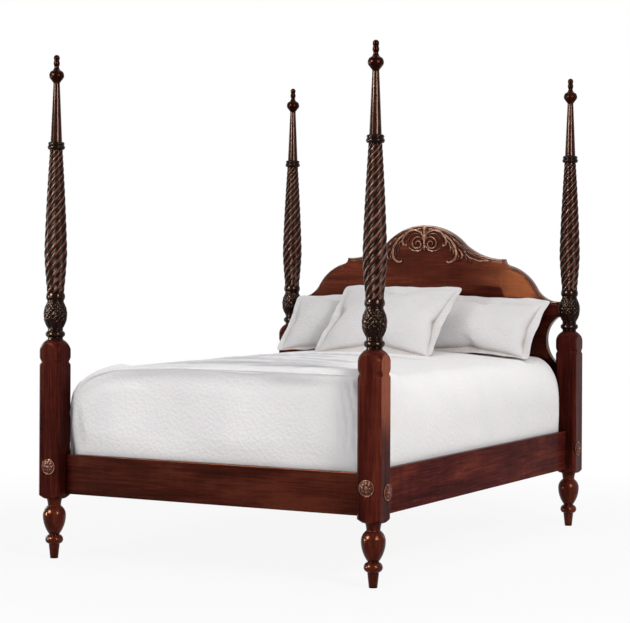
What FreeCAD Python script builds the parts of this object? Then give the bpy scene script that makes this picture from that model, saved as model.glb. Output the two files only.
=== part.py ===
import FreeCAD, Part
import math
import os
from collections import namedtuple
from types import SimpleNamespace

import Sketcher

# Four-poster bed: turned posts with a rope twist, bolted rails, an arched headboard and made-up bedding.
# Millimetres. +Z is up, +Y points to the head, and the origin is on the floor under the bed's centre.

SIZES = {
    # Bedding, which sets the length and width of the frame
    "mattress_width": 1524,
    "mattress_length": 2032,
    "mattress_crown": 306,
    "mattress_side": 80,
    "shoulder_reach": 130,
    "shoulder_drop": 32,
    "foot_reach": 165,
    "foot_side": 40,
    "head_reach": 60,
    "head_side": 200,
    "corner_reach": 100,
    "head_corner_reach": 50,
    "box_height": 215,
    "box_inset": 4,
    "soft_gap": 0.3,
    "coverlet_thickness": 5,
    "tuck_gap": 4.7,
    "tuck_depth": 40,
    "head_gap": 51,
    # Pillows
    "pillow_width": 660,
    "pillow_thickness": 180,
    "flange_width": 42,
    "flange_thickness": 7,
    "side_draw": 16,
    "back_pillow_height": 385,
    "back_pillow_centre": 385,
    "back_pillow_lean": 50,
    "back_pillow_tilt": 2,
    "back_pillow_gap": 48,
    "front_pillow_height": 500,
    "front_pillow_lean": 43,
    "front_pillow_advance": 200,
    # Square block of a post
    "block_width": 108,
    "block_chamfer": 12,
    "block_height": 700,
    "base_seat_radius": 50,
    "base_shoulder_reach": 22,
    "base_shoulder_rise": 16,
    "notch_radius": 60,
    "notch_reach": 12,
    "notch_rise": 20,
    "ball_rise": 98,
    "ball_top_radius": 35,
    # Turned foot, each rise from the turning below
    "foot_tip_radius": 17.5,
    "foot_ankle_radius": 24.5,
    "foot_ankle_rise": 64,
    "foot_ring_radius": 39.5,
    "foot_ring_rise": 18,
    "foot_waist_radius": 22,
    "foot_waist_rise": 23,
    "foot_belly_radius": 51,
    "foot_belly_rise": 85,
    "foot_neck_radius": 29,
    "foot_neck_rise": 42,
    "foot_cap_radius": 36,
    "foot_cap_rise": 34,
    "spigot_radius": 18,
    "spigot_length": 45,
    # Lower turning of the shaft
    "neck_radius": 34,
    "neck_length": 10,
    "neck_ring_radius": 43.5,
    "neck_ring_rise": 14,
    "neck_ring_fall": 14,
    "throat_length": 12,
    "bulb_radius": 53.8,
    "bulb_rise": 62,
    "bulb_fall": 54,
    "bulb_top_radius": 37,
    "upper_neck_length": 8,
    "upper_ring_radius": 42.5,
    "upper_ring_rise": 15,
    "upper_ring_fall": 17,
    # Rope twist
    "twist_step": 1,
    "twist_length": 633,
    "twist_swell_height": 173,
    "twist_low_radius": 37.5,
    "twist_swell_radius": 50.8,
    "twist_top_radius": 28.5,
    "twist_slope": 48,
    "strand_depth": 4.5,
    # Collar and taper above the twist
    "collar_base_radius": 33,
    "collar_ring_radius": 38.8,
    "collar_ring_rise": 11,
    "collar_valley_radius": 34,
    "collar_valley_rise": 9,
    "collar_bead_radius": 36.5,
    "collar_bead_rise": 7,
    "collar_top_radius": 30,
    "collar_top_rise": 8,
    "taper_base_radius": 25.5,
    "taper_top_radius": 14.5,
    "taper_length": 257,
    # Finial, each rise from the turning below
    "finial_stem_radius": 14.5,
    "finial_stem_rise": 4,
    "finial_cup_radius": 29,
    "finial_cup_rise": 19,
    "finial_rim_radius": 33.3,
    "finial_rim_rise": 12,
    "finial_cap_radius": 26,
    "finial_cap_rise": 20,
    "finial_neck_radius": 10.5,
    "finial_neck_rise": 21,
    "finial_bead_radius": 14,
    "finial_bead_rise": 14,
    "finial_waist_radius": 11,
    "finial_waist_rise": 11,
    "finial_tip_radius": 13.5,
    "finial_tip_rise": 13.5,
    "finial_top_rise": 13.5,
    "finial_pin_radius": 4,
    "finial_pin_depth": 30,
    # Rails, bed bolts and their barrel nuts
    "rail_rise": 20,
    "rail_thickness": 26,
    "rail_edge_radius": 3,
    "side_rail_height": 188,
    "end_rail_height": 176,
    "side_rail_inset": 5,
    "end_rail_inset": 18,
    "tenon_length": 18,
    "tenon_thickness": 14,
    "tenon_shoulder": 12,
    "joint_gap": 0.1,
    "end_gap": 1,
    "side_bolt_rise": 122,
    "end_bolt_rise": 102,
    "bolt_radius": 5,
    "bolt_gap": 0.25,
    "bolt_reach": 62,
    "bolt_head_radius": 8.5,
    "bolt_head_height": 8,
    "recess_radius": 10.5,
    "recess_depth": 16,
    "nut_radius": 8,
    "nut_length": 20,
    "nut_setback": 45,
    # Rosette covers over the bolts
    "cover_radius": 32,
    "cover_rim": 4,
    "cover_rim_width": 4,
    "cover_petal_height": 8,
    "cover_button_radius": 9,
    "cover_button_height": 10,
    "cover_gap": 0.2,
    "cover_pin_offset": 21.5,
    "cover_pin_radius": 2,
    "cover_pin_depth": 16,
    "cover_pin_head_radius": 4,
    "cover_pin_head_height": 2,
    "cover_pin_seat": 5,
    "running_gap": 0.05,
    # Headboard: rises above the tops of the blocks, and half widths from the centre line
    "board_thickness": 30,
    "board_lift": 274,
    "board_meet_drop": 166,
    "board_tenon_margin": 25,
    "crest_rise": 528,
    "crest_half_width": 226,
    "crest_foot_rise": 429,
    "shoulder_inner": 430,
    "shoulder_outer": 444,
    "shoulder_rise": 357,
    "cove_outer": 472,
    "cove_rise": 325,
    "sweep_outer": 620,
    "sweep_rise": 204,
    "sweep_radius": 239,
    "ear_start": 60,
    "ear_rise": 147,
    "ear_base_rise": 71,
    "ear_depth": 34,
    "gap_depth": 63,
    "gap_drop": 42,
    "dowel_radius": 6,
    "dowel_length": 50,
    # Carving applied to the crest
    "carving_margin": 12,
    "carving_half_width": 236,
    "carving_depth": 46,
    "carving_relief": 8,
    "volute_radius": 26,
    "volute_spread": 62,
    "volute_drop": 62,
    "volute_relief": 11,
    "leaf_half_width": 24,
    "leaf_drop": 120,
    "leaf_relief": 13,
    # Ledgers, slats and screws under the box spring
    "ledger_width": 22,
    "ledger_height": 28,
    "ledger_lift": 6,
    "ledger_end_gap": 120,
    "screw_radius": 2.5,
    "screw_head_radius": 4.5,
    "screw_head_height": 3,
    "screw_bite": 15,
    "screw_end_gap": 100,
    "slat_width": 90,
    "slat_thickness": 20,
    "slat_end_gap": 3,
    "slat_margin": 230,
}
STRANDS = 8
SLATS = 5
LEDGER_SCREWS = 5
TWIST_STEP_DEGREES = 18
TWIST_TAPER_POWER = 1.35
PILLOW_SECTIONS = 9


class Size:
    """A length with its number and the sheet expression that drives it."""

    def __init__(self, number, text):
        self.number = number
        self.text = text

    def __add__(self, other):
        other = as_size(other)
        return Size(self.number + other.number, f"({self.text} + {other.text})")

    def __sub__(self, other):
        other = as_size(other)
        return Size(self.number - other.number, f"({self.text} - {other.text})")

    def __mul__(self, other):
        other = as_size(other)
        return Size(self.number * other.number, f"({self.text} * {other.text})")

    def __truediv__(self, other):
        other = as_size(other)
        return Size(self.number / other.number, f"({self.text} / {other.text})")

    def __neg__(self):
        return self * -1


def as_size(item):
    return item if isinstance(item, Size) else Size(item, f"({item})")


def sin(degrees):
    return Size(math.sin(math.radians(degrees.number)), f"sin({degrees.text} * 1 deg)")


def cos(degrees):
    return Size(math.cos(math.radians(degrees.number)), f"cos({degrees.text} * 1 deg)")


doc = FreeCAD.newDocument("FourPosterBed")
sheet = doc.addObject("Spreadsheet::Sheet", "Sizes")
for row, (alias, number) in enumerate(SIZES.items(), start=1):
    sheet.set(f"A{row}", alias)
    sheet.set(f"B{row}", str(number))
    sheet.setAlias(f"B{row}", alias)
doc.recompute()
S = SimpleNamespace(**{alias: Size(number, f"Sizes.{alias}") for alias, number in SIZES.items()})
NIL = as_size(0)

# Places that several pieces share
inner_width = S.mattress_width + (S.soft_gap + S.coverlet_thickness + S.tuck_gap) * 2
inner_length = S.mattress_length + S.soft_gap + S.coverlet_thickness + S.tuck_gap + S.head_gap
post_x = (inner_width + S.rail_thickness) / 2 + S.side_rail_inset
post_y = (inner_length + S.rail_thickness) / 2 + S.end_rail_inset
block_half = S.block_width / 2
foot_middle = S.foot_ankle_rise + S.foot_ring_rise + S.foot_waist_rise + S.foot_belly_rise
foot_height = foot_middle + S.foot_neck_rise + S.foot_cap_rise
block_top = foot_height + S.block_height
bulb_base = S.neck_length + S.neck_ring_rise + S.neck_ring_fall + S.throat_length
bulb_middle = bulb_base + S.bulb_rise
bulb_top = bulb_middle + S.bulb_fall
twist_base = bulb_top + S.upper_neck_length + S.upper_ring_rise + S.upper_ring_fall
twist_top = twist_base + S.twist_length
collar_height = S.collar_ring_rise + S.collar_valley_rise + S.collar_bead_rise + S.collar_top_rise
shaft_length = twist_top + collar_height + S.taper_length
shaft_top = block_top + shaft_length
rail_base = foot_height + S.rail_rise
side_bolt_height = rail_base + S.side_bolt_rise
end_bolt_height = rail_base + S.end_bolt_rise
board_bottom = rail_base + S.board_lift
board_meet = block_top - S.board_meet_drop
board_tenon = (board_bottom + S.board_tenon_margin, board_meet - S.board_tenon_margin)
crest_top = block_top + S.crest_rise
crest_foot = block_top + S.crest_foot_rise
dowel_height = block_top + bulb_middle
ledger_top = rail_base + S.ledger_lift + S.ledger_height
slat_top = ledger_top + S.slat_thickness
mattress_base = slat_top + S.box_height + S.soft_gap
foot_end = S.tuck_gap + S.coverlet_thickness + S.soft_gap - inner_length / 2
head_end = foot_end + S.mattress_length
coverlet_growth = S.soft_gap + S.coverlet_thickness
bed_top = mattress_base + S.mattress_crown + coverlet_growth

Corner = namedtuple("Corner", "name side end x y")
CORNERS = [
    Corner("front_left", -1, -1, -post_x, -post_y),
    Corner("front_right", 1, -1, post_x, -post_y),
    Corner("back_left", -1, 1, -post_x, post_y),
    Corner("back_right", 1, 1, post_x, post_y),
]

# How an outline bends on its way to the next point: an arc that is upright or flat at one of its ends,
# or one centred on the turning axis. A Size is the radius of an arc that turns to the right.
UPRIGHT_HERE = "upright here"
UPRIGHT_NEXT = "upright next"
FLAT_HERE = "flat here"
FLAT_NEXT = "flat next"
ON_AXIS = "on axis"
SWAPPED = {
    UPRIGHT_HERE: UPRIGHT_NEXT,
    UPRIGHT_NEXT: UPRIGHT_HERE,
    FLAT_HERE: FLAT_NEXT,
    FLAT_NEXT: FLAT_HERE,
}
Point = namedtuple("Point", "x y bend", defaults=[None])
PLANES = {"x": ("YZ_Plane", 1), "y": ("XZ_Plane", -1), "z": ("XY_Plane", 1)}
UP = FreeCAD.Vector(0, 0, 1)
parts = []


def bind(item, name, length):
    item.setExpression(name, as_size(length).text)


def keep(item, label, x=NIL, y=NIL, z=NIL):
    """Name a finished sub-part and put it in its place."""
    item.Label = label
    for name, length in zip("xyz", (x, y, z)):
        bind(item, f"Placement.Base.{name}", length)
    parts.append(item)
    return item


def new_body(name):
    return doc.addObject("PartDesign::Body", name)


def origin_item(body, role):
    return next(item for item in body.Origin.OriginFeatures if item.Role == role)


def sketch_across(body, axis, offset=None):
    """Start a sketch in the plane square to an axis, moved along that axis."""
    role, sense = PLANES[axis]
    sketch = body.newObject("Sketcher::SketchObject", "Sketch")
    sketch.AttachmentSupport = [(origin_item(body, role), "")]
    sketch.MapMode = "FlatFace"
    if offset is not None:
        bind(sketch, "AttachmentOffset.Base.z", offset * sense)
    return sketch


def constrain(sketch, *terms):
    """Add a constraint, driven by the sheet where its last term is a size."""
    length = terms[-1]
    if not isinstance(length, Size):
        sketch.addConstraint(Sketcher.Constraint(*terms))
        return
    index = sketch.addConstraint(Sketcher.Constraint(*terms[:-1], float(length.number)))
    sketch.setExpression(f"Constraints[{index}]", length.text)


def pin_point(sketch, geometry, position, x, y):
    """Fix a point of the sketch by its distances from the origin."""
    for kind, axis, length in (("DistanceX", -2, as_size(x)), ("DistanceY", -1, as_size(y))):
        if length is NIL or length.number == 0:
            constrain(sketch, "PointOnObject", geometry, position, axis)
        else:
            constrain(sketch, kind, -1, 1, geometry, position, length)


def vector(point):
    return FreeCAD.Vector(as_size(point.x).number, as_size(point.y).number, 0)


def arc_centre(here, there, bend):
    """Centre of the arc between two points."""
    start = vector(here)
    step = vector(there) - start
    if bend in (UPRIGHT_NEXT, FLAT_NEXT):
        return arc_centre(there, here, SWAPPED[bend])
    if bend == UPRIGHT_HERE:
        return start + FreeCAD.Vector(step.dot(step) / (2 * step.x), 0, 0)
    if bend == FLAT_HERE:
        return start + FreeCAD.Vector(0, step.dot(step) / (2 * step.y), 0)
    if bend == ON_AXIS:
        end = start + step
        return FreeCAD.Vector(0, (end.dot(end) - start.dot(start)) / (2 * step.y), 0)
    rise = math.sqrt(bend.number ** 2 - step.dot(step) / 4)
    return start + step / 2 + FreeCAD.Vector(step.y, -step.x, 0).normalize() * rise


def draw_edge(sketch, here, there):
    """Draw the line or arc between two points; returns it with the positions of its ends."""
    start, end = vector(here), vector(there)
    if here.bend is None:
        return sketch.addGeometry(Part.LineSegment(start, end), False), 1, 2
    centre = arc_centre(here, there, here.bend)
    left_turn = (start - centre).cross(end - centre).z > 0
    first, last = (1, 2) if left_turn else (2, 1)
    ends = (start, end) if left_turn else (end, start)
    angles = [math.atan2(point.y - centre.y, point.x - centre.x) for point in ends]
    circle = Part.Circle(centre, UP, (start - centre).Length)
    arc = sketch.addGeometry(Part.ArcOfCircle(circle, *angles), False)
    if here.bend in (UPRIGHT_HERE, UPRIGHT_NEXT):
        constrain(sketch, "Horizontal", arc, 3, arc, first if here.bend == UPRIGHT_HERE else last)
    elif here.bend in (FLAT_HERE, FLAT_NEXT):
        constrain(sketch, "Vertical", arc, 3, arc, first if here.bend == FLAT_HERE else last)
    elif here.bend == ON_AXIS:
        constrain(sketch, "PointOnObject", arc, 3, -2)
    else:
        constrain(sketch, "Radius", arc, here.bend)
    return arc, first, last


def draw_outline(sketch, points):
    """Draw a closed outline, fixed at its points."""
    edges = [draw_edge(sketch, *pair) for pair in zip(points, points[1:] + points[:1])]
    for (edge, first, _), (before, _, last), point in zip(edges, edges[-1:] + edges[:-1], points):
        constrain(sketch, "Coincident", before, last, edge, first)
        pin_point(sketch, edge, first, point.x, point.y)


def mirrored(half):
    """Whole outline from its right half, which starts on the centre line and may end on it."""
    pairs = list(zip(half, half[1:]))
    left = [Point(-there.x, there.y, SWAPPED.get(here.bend, here.bend)) for here, there in reversed(pairs)]
    return (half[:-1] if half[-1].x is NIL else half) + left


def stacked(base, *turnings):
    """Outline points of turnings (radius, rise, bend), each rise counted from the point before."""
    points = []
    height = base
    for radius, rise, bend in turnings:
        height = height + rise
        points.append(Point(radius, height, bend))
    return points


def rounded(a_range, b_range, radius):
    """Rectangle with rounded corners."""
    (left, right), (low, high) = a_range, b_range
    return [
        Point(right, low + radius),
        Point(right, high - radius, UPRIGHT_HERE),
        Point(right - radius, high),
        Point(left + radius, high, FLAT_HERE),
        Point(left, high - radius),
        Point(left, low + radius, UPRIGHT_HERE),
        Point(left + radius, low),
        Point(right - radius, low, FLAT_HERE),
    ]


def extrude(body, sketch, length, cut):
    """Pad a sketch, or cut with it, evenly to both sides of its plane."""
    feature = body.newObject("PartDesign::Pocket" if cut else "PartDesign::Pad", "Cut" if cut else "Pad")
    feature.Profile = sketch
    feature.SideType = "Symmetric"
    bind(feature, "Length", length)
    return feature


def prism(body, axis, points, start, end, cut=False):
    """Add or cut an outline that runs along an axis from start to end."""
    low, high = sorted((as_size(start), as_size(end)), key=lambda item: item.number)
    sketch = sketch_across(body, axis, (low + high) / 2)
    draw_outline(sketch, points)
    return extrude(body, sketch, high - low, cut)


def bar(body, axis, a_range, b_range, start, end, cut=False):
    """Add or cut a rectangular bar along an axis."""
    corners = [Point(a_range[i], b_range[j]) for i, j in ((0, 0), (1, 0), (1, 1), (0, 1))]
    return prism(body, axis, corners, start, end, cut)


def rod(body, axis, a, b, radius, start, end, cut=False):
    """Add or cut a round bar along an axis."""
    low, high = sorted((as_size(start), as_size(end)), key=lambda item: item.number)
    sketch = sketch_across(body, axis, (low + high) / 2)
    centre = FreeCAD.Vector(as_size(a).number, as_size(b).number, 0)
    circle = sketch.addGeometry(Part.Circle(centre, UP, radius.number), False)
    pin_point(sketch, circle, 3, a, b)
    constrain(sketch, "Radius", circle, radius)
    return extrude(body, sketch, high - low, cut)


def turn(body, points, cut=False, axis="V_Axis", axis_x=None):
    """Turn an outline about the upright axis, or about an upright line at axis_x."""
    sketch = sketch_across(body, "y")
    draw_outline(sketch, points)
    if axis_x is not None:
        ends = [Point(axis_x, points[0].y), Point(axis_x, points[-1].y)]
        line = sketch.addGeometry(Part.LineSegment(vector(ends[0]), vector(ends[1])), True)
        for position, point in enumerate(ends, start=1):
            pin_point(sketch, line, position, point.x, point.y)
        axis = "Axis0"
    feature = body.newObject("PartDesign::Groove" if cut else "PartDesign::Revolution", "Turning")
    feature.Profile = sketch
    feature.ReferenceAxis = (sketch, [axis])
    feature.Angle = 360
    return feature


def at_corners(body, features):
    """Repeat features of the front left corner at the other three."""
    corners = body.newObject("PartDesign::MultiTransform", "Corners")
    corners.Originals = features
    mirrors = []
    for role in ("YZ_Plane", "XZ_Plane"):
        mirror = body.newObject("PartDesign::Mirrored", "Mirror")
        mirror.MirrorPlane = (origin_item(body, role), [""])
        mirrors.append(mirror)
    corners.Transformations = mirrors
    body.Tip = corners


def make_foot(corner):
    body = new_body("Foot")
    turn(body, [
        Point(NIL, NIL),
        *stacked(
            NIL,
            (S.foot_tip_radius, NIL, None),
            (S.foot_ankle_radius, S.foot_ankle_rise, UPRIGHT_NEXT),
            (S.foot_ring_radius, S.foot_ring_rise, UPRIGHT_HERE),
            (S.foot_waist_radius, S.foot_waist_rise, UPRIGHT_NEXT),
            (S.foot_belly_radius, S.foot_belly_rise, UPRIGHT_HERE),
            (S.foot_neck_radius, S.foot_neck_rise, UPRIGHT_HERE),
            (S.foot_cap_radius, S.foot_cap_rise, None),
        ),
        Point(S.spigot_radius, foot_height),
        Point(S.spigot_radius, foot_height + S.spigot_length),
        Point(NIL, foot_height + S.spigot_length),
    ])
    keep(body, f"foot_{corner.name}", corner.x, corner.y)


def block_outline():
    flat = block_half - S.block_chamfer
    half = block_half
    signs = ((1, 1), (-1, 1), (-1, -1), (1, -1))
    points = []
    for i, j in signs:
        near, far = Point(half * i, flat * j), Point(flat * i, half * j)
        points += [near, far] if i == j else [far, near]
    return points


def cut_rail_joint(body, axis, inward, cross, rail_height, bolt_height):
    """Mortise, bolt hole, bolt recess and cover pin hole for the rail that runs along an axis."""
    inner = block_half * inward
    outer = -inner
    half = S.tenon_thickness / 2 + S.joint_gap
    low = rail_base - foot_height + S.tenon_shoulder - S.joint_gap
    high = rail_base - foot_height + rail_height - S.tenon_shoulder + S.joint_gap
    depth = S.tenon_length + S.end_gap
    bolt = bolt_height - foot_height
    bar(body, axis, (cross - half, cross + half), (low, high), inner, inner - depth * inward, cut=True)
    rod(body, axis, cross, bolt, S.bolt_radius + S.bolt_gap, inner, outer, cut=True)
    rod(body, axis, cross, bolt, S.recess_radius, outer, outer + S.recess_depth * inward, cut=True)
    pin = bolt + S.cover_pin_offset
    rod(body, axis, cross, pin, S.cover_pin_radius, outer, outer + S.cover_pin_depth * inward, cut=True)


def make_block(corner):
    body = new_body("Block")
    prism(body, "z", block_outline(), NIL, S.block_height)
    notch = S.block_height - S.ball_rise
    turn(body, [
        Point(S.notch_radius + S.notch_reach, notch - S.notch_rise),
        Point(S.notch_radius, notch, ON_AXIS),
        Point(S.ball_top_radius, S.block_height),
        Point(S.block_width, S.block_height),
        Point(S.block_width, notch - S.notch_rise),
    ], cut=True)
    turn(body, [
        Point(S.base_seat_radius, NIL),
        Point(S.block_width, NIL),
        Point(S.block_width, S.base_shoulder_rise),
        Point(S.base_seat_radius + S.base_shoulder_reach, S.base_shoulder_rise),
    ], cut=True)
    socket = S.spigot_radius + S.joint_gap
    depth = S.spigot_length + S.end_gap
    rod(body, "z", NIL, NIL, socket, NIL, depth, cut=True)
    rod(body, "z", NIL, NIL, socket, S.block_height - depth, S.block_height, cut=True)
    side_rail_x = S.side_rail_inset * -corner.side
    end_rail_y = S.end_rail_inset * -corner.end
    cut_rail_joint(body, "y", -corner.end, side_rail_x, S.side_rail_height, side_bolt_height)
    cut_rail_joint(body, "x", -corner.side, end_rail_y, S.end_rail_height, end_bolt_height)
    if corner.end > 0:
        inner = block_half * -corner.side
        half = S.tenon_thickness / 2 + S.joint_gap
        low, high = [height - foot_height for height in board_tenon]
        heights = (low - S.joint_gap, high + S.joint_gap)
        depth = (S.tenon_length + S.end_gap) * -corner.side
        bar(body, "x", (-half, half), heights, inner, inner - depth, cut=True)
    keep(body, f"post_block_{corner.name}", corner.x, corner.y, foot_height)


def bulb_outline(axis_x, sense, growth):
    """Outline of the carved bulb, with room round it, about an upright axis."""
    return [
        Point(axis_x, bulb_base),
        Point(axis_x + (S.neck_radius + growth) * sense, bulb_base, UPRIGHT_NEXT),
        Point(axis_x + (S.bulb_radius + growth) * sense, bulb_middle, UPRIGHT_HERE),
        Point(axis_x + (S.bulb_top_radius + growth) * sense, bulb_top),
        Point(axis_x, bulb_top),
    ]


def make_lower_turning(corner):
    body = new_body("LowerTurning")
    bulb = bulb_outline(NIL, 1, NIL)[1:-1]
    seat_radius = S.twist_low_radius + S.twist_step
    turn(body, [
        Point(NIL, -S.spigot_length),
        Point(S.spigot_radius, -S.spigot_length),
        Point(S.spigot_radius, NIL),
        Point(S.neck_radius, NIL),
        *stacked(
            NIL,
            (S.neck_radius, S.neck_length, UPRIGHT_NEXT),
            (S.neck_ring_radius, S.neck_ring_rise, UPRIGHT_HERE),
            (S.neck_radius, S.neck_ring_fall, None),
        ),
        *bulb,
        *stacked(
            bulb_top,
            (S.bulb_top_radius, S.upper_neck_length, UPRIGHT_NEXT),
            (S.upper_ring_radius, S.upper_ring_rise, UPRIGHT_HERE),
            (seat_radius, S.upper_ring_fall, None),
        ),
        Point(NIL, twist_base),
    ])
    if corner.end > 0:
        inner = S.bulb_radius * -corner.side
        bottom = inner - (S.dowel_length / 2 + S.end_gap) * -corner.side
        rod(body, "x", NIL, bulb_middle, S.dowel_radius + S.joint_gap, inner, bottom, cut=True)
    return body


def make_upper_turning():
    body = new_body("UpperTurning")
    turn(body, [
        Point(NIL, twist_top),
        *stacked(
            twist_top,
            (S.collar_base_radius, NIL, UPRIGHT_NEXT),
            (S.collar_ring_radius, S.collar_ring_rise, UPRIGHT_HERE),
            (S.collar_valley_radius, S.collar_valley_rise, UPRIGHT_NEXT),
            (S.collar_bead_radius, S.collar_bead_rise, UPRIGHT_HERE),
            (S.collar_top_radius, S.collar_top_rise, None),
            (S.taper_base_radius, NIL, UPRIGHT_HERE),
            (S.taper_top_radius, S.taper_length, None),
        ),
        Point(NIL, shaft_length),
    ])
    hole = S.finial_pin_radius + S.running_gap
    rod(body, "z", NIL, NIL, hole, shaft_length - S.finial_pin_depth, shaft_length, cut=True)
    return body


def twist_radius(height):
    """Radius over the strands at a height above the foot of the twist."""
    swell = S.twist_swell_height.number
    if height < swell:
        end, share = S.twist_low_radius.number, (swell - height) / swell
    else:
        end, share = S.twist_top_radius.number, (height - swell) / (S.twist_length.number - swell)
    return end + (S.twist_swell_radius.number - end) * (1 - share ** TWIST_TAPER_POWER)


def strand_section(height, turned):
    """Lobed outline of the twist at a height, one arc for each strand."""
    crest = twist_radius(height)
    valley = crest - S.strand_depth.number
    pitch = 2 * math.pi / STRANDS

    def spot(radius, steps):
        angle = turned + pitch * steps
        z = twist_base.number + height
        return FreeCAD.Vector(radius * math.cos(angle), radius * math.sin(angle), z)

    arcs = [Part.Arc(spot(valley, k), spot(crest, k + 0.5), spot(valley, k + 1)) for k in range(STRANDS)]
    return Part.Wire([arc.toShape() for arc in arcs])


def make_twist():
    """Rope twist: lobed sections that climb at a steady slope round the swelling shaft."""
    rise = math.tan(math.radians(S.twist_slope.number))
    narrowest = min(S.twist_low_radius.number, S.twist_top_radius.number)
    step = math.radians(TWIST_STEP_DEGREES) * rise * narrowest
    count = math.ceil(S.twist_length.number / step)
    spacing = S.twist_length.number / count
    turned = 0
    sections = []
    for i in range(count + 1):
        sections.append(strand_section(i * spacing, turned))
        middle = min((i + 0.5) * spacing, S.twist_length.number)
        turned += spacing / (rise * twist_radius(middle))
    feature = doc.addObject("Part::Feature", "Twist")
    feature.Shape = Part.makeLoft(sections, True, False)
    return feature


def make_shaft(corner, twist):
    shaft = doc.addObject("Part::MultiFuse", "Shaft")
    shaft.Shapes = [make_lower_turning(corner), twist, make_upper_turning()]
    keep(shaft, f"post_shaft_{corner.name}", corner.x, corner.y, block_top)


def make_finial(corner):
    body = new_body("Finial")
    turn(body, [
        Point(NIL, NIL),
        *stacked(
            NIL,
            (S.finial_stem_radius, NIL, None),
            (S.finial_stem_radius, S.finial_stem_rise, None),
            (S.finial_cup_radius, S.finial_cup_rise, UPRIGHT_NEXT),
            (S.finial_rim_radius, S.finial_rim_rise, UPRIGHT_HERE),
            (S.finial_cap_radius, S.finial_cap_rise, UPRIGHT_NEXT),
            (S.finial_neck_radius, S.finial_neck_rise, UPRIGHT_NEXT),
            (S.finial_bead_radius, S.finial_bead_rise, UPRIGHT_HERE),
            (S.finial_waist_radius, S.finial_waist_rise, UPRIGHT_NEXT),
            (S.finial_tip_radius, S.finial_tip_rise, ON_AXIS),
            (NIL, S.finial_top_rise, None),
        ),
    ])
    hole = S.finial_pin_radius + S.running_gap
    rod(body, "z", NIL, NIL, hole, NIL, S.finial_pin_depth + S.end_gap, cut=True)
    keep(body, f"finial_{corner.name}", corner.x, corner.y, shaft_top)


def make_finial_pins():
    body = new_body("FinialPins")
    pin = rod(body, "z", -post_x, -post_y, S.finial_pin_radius, -S.finial_pin_depth, S.finial_pin_depth)
    at_corners(body, [pin])
    keep(body, "finial_pins", z=shaft_top)


def ledger_screw_places():
    """Places of a ledger's screws along its rail, from its middle."""
    reach = inner_rail_length("side") / 2 - S.ledger_end_gap - S.screw_end_gap
    return [reach * (2 * i / (LEDGER_SCREWS - 1) - 1) for i in range(LEDGER_SCREWS)]


def inner_rail_length(kind):
    """Length of a rail between the faces of its two posts."""
    return (post_y if kind == "side" else post_x) * 2 - S.block_width


def make_rail(label, kind, x, y, heading):
    """Rail along its own X axis, with its inner face to its own +Y."""
    body = new_body("Rail")
    height = S.side_rail_height if kind == "side" else S.end_rail_height
    bolt = (side_bolt_height if kind == "side" else end_bolt_height) - rail_base
    end = inner_rail_length(kind) / 2
    half = S.rail_thickness / 2
    tenon_half = S.tenon_thickness / 2
    tenon_end = end + S.tenon_length
    prism(body, "x", rounded((-half, half), (NIL, height), S.rail_edge_radius), -end, end)
    tenon_heights = (S.tenon_shoulder, height - S.tenon_shoulder)
    bar(body, "x", (-tenon_half, tenon_half), tenon_heights, -tenon_end, tenon_end)
    nut_bottom = -(S.nut_length / 2 + S.joint_gap)
    for side in (-1, 1):
        hole_end = (end - S.bolt_reach - S.end_gap) * side
        rod(body, "x", NIL, bolt, S.bolt_radius + S.bolt_gap, tenon_end * side, hole_end, cut=True)
        nut = (end - S.nut_setback) * side
        rod(body, "y", nut, bolt, S.nut_radius + S.joint_gap, nut_bottom, half, cut=True)
    if kind == "side":
        screw = S.ledger_lift + S.ledger_height / 2
        for place in ledger_screw_places():
            rod(body, "y", place, screw, S.screw_radius, half - S.screw_bite, half, cut=True)
    keep(body, label, x, y, rail_base)
    body.Placement.Rotation = FreeCAD.Rotation(UP, heading)


def make_rails():
    side_x = post_x - S.side_rail_inset
    end_y = post_y - S.end_rail_inset
    make_rail("side_rail_left", "side", -side_x, NIL, -90)
    make_rail("side_rail_right", "side", side_x, NIL, 90)
    make_rail("foot_rail", "end", NIL, -end_y, 0)
    make_rail("head_rail", "end", NIL, end_y, 180)


def front_left_bolts():
    """Axis, cross place, height and outer face of the two bolts in the front left post."""
    return [
        ("y", S.side_rail_inset - post_x, side_bolt_height, -post_y - block_half),
        ("x", S.end_rail_inset - post_y, end_bolt_height, -post_x - block_half),
    ]


def make_bolts():
    body = new_body("BedBolts")
    features = []
    for axis, cross, height, face in front_left_bolts():
        seat = face + S.recess_depth
        tip = face + S.block_width + S.bolt_reach
        features.append(rod(body, axis, cross, height, S.bolt_radius, seat, tip))
        features.append(rod(body, axis, cross, height, S.bolt_head_radius, seat - S.bolt_head_height, seat))
    at_corners(body, features)
    keep(body, "bed_bolts")


def make_nuts():
    body = new_body("BarrelNuts")
    features = []
    for axis, cross, height, face in front_left_bolts():
        place = face + S.block_width + S.nut_setback
        half = S.nut_length / 2
        reach = S.nut_radius * 2
        across = "x" if axis == "y" else "y"
        features.append(rod(body, across, place, height, S.nut_radius, cross - half, cross + half))
        hole = S.bolt_radius + S.running_gap
        features.append(rod(body, axis, cross, height, hole, place - reach, place + reach, cut=True))
    at_corners(body, features)
    keep(body, "barrel_nuts")


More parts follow.
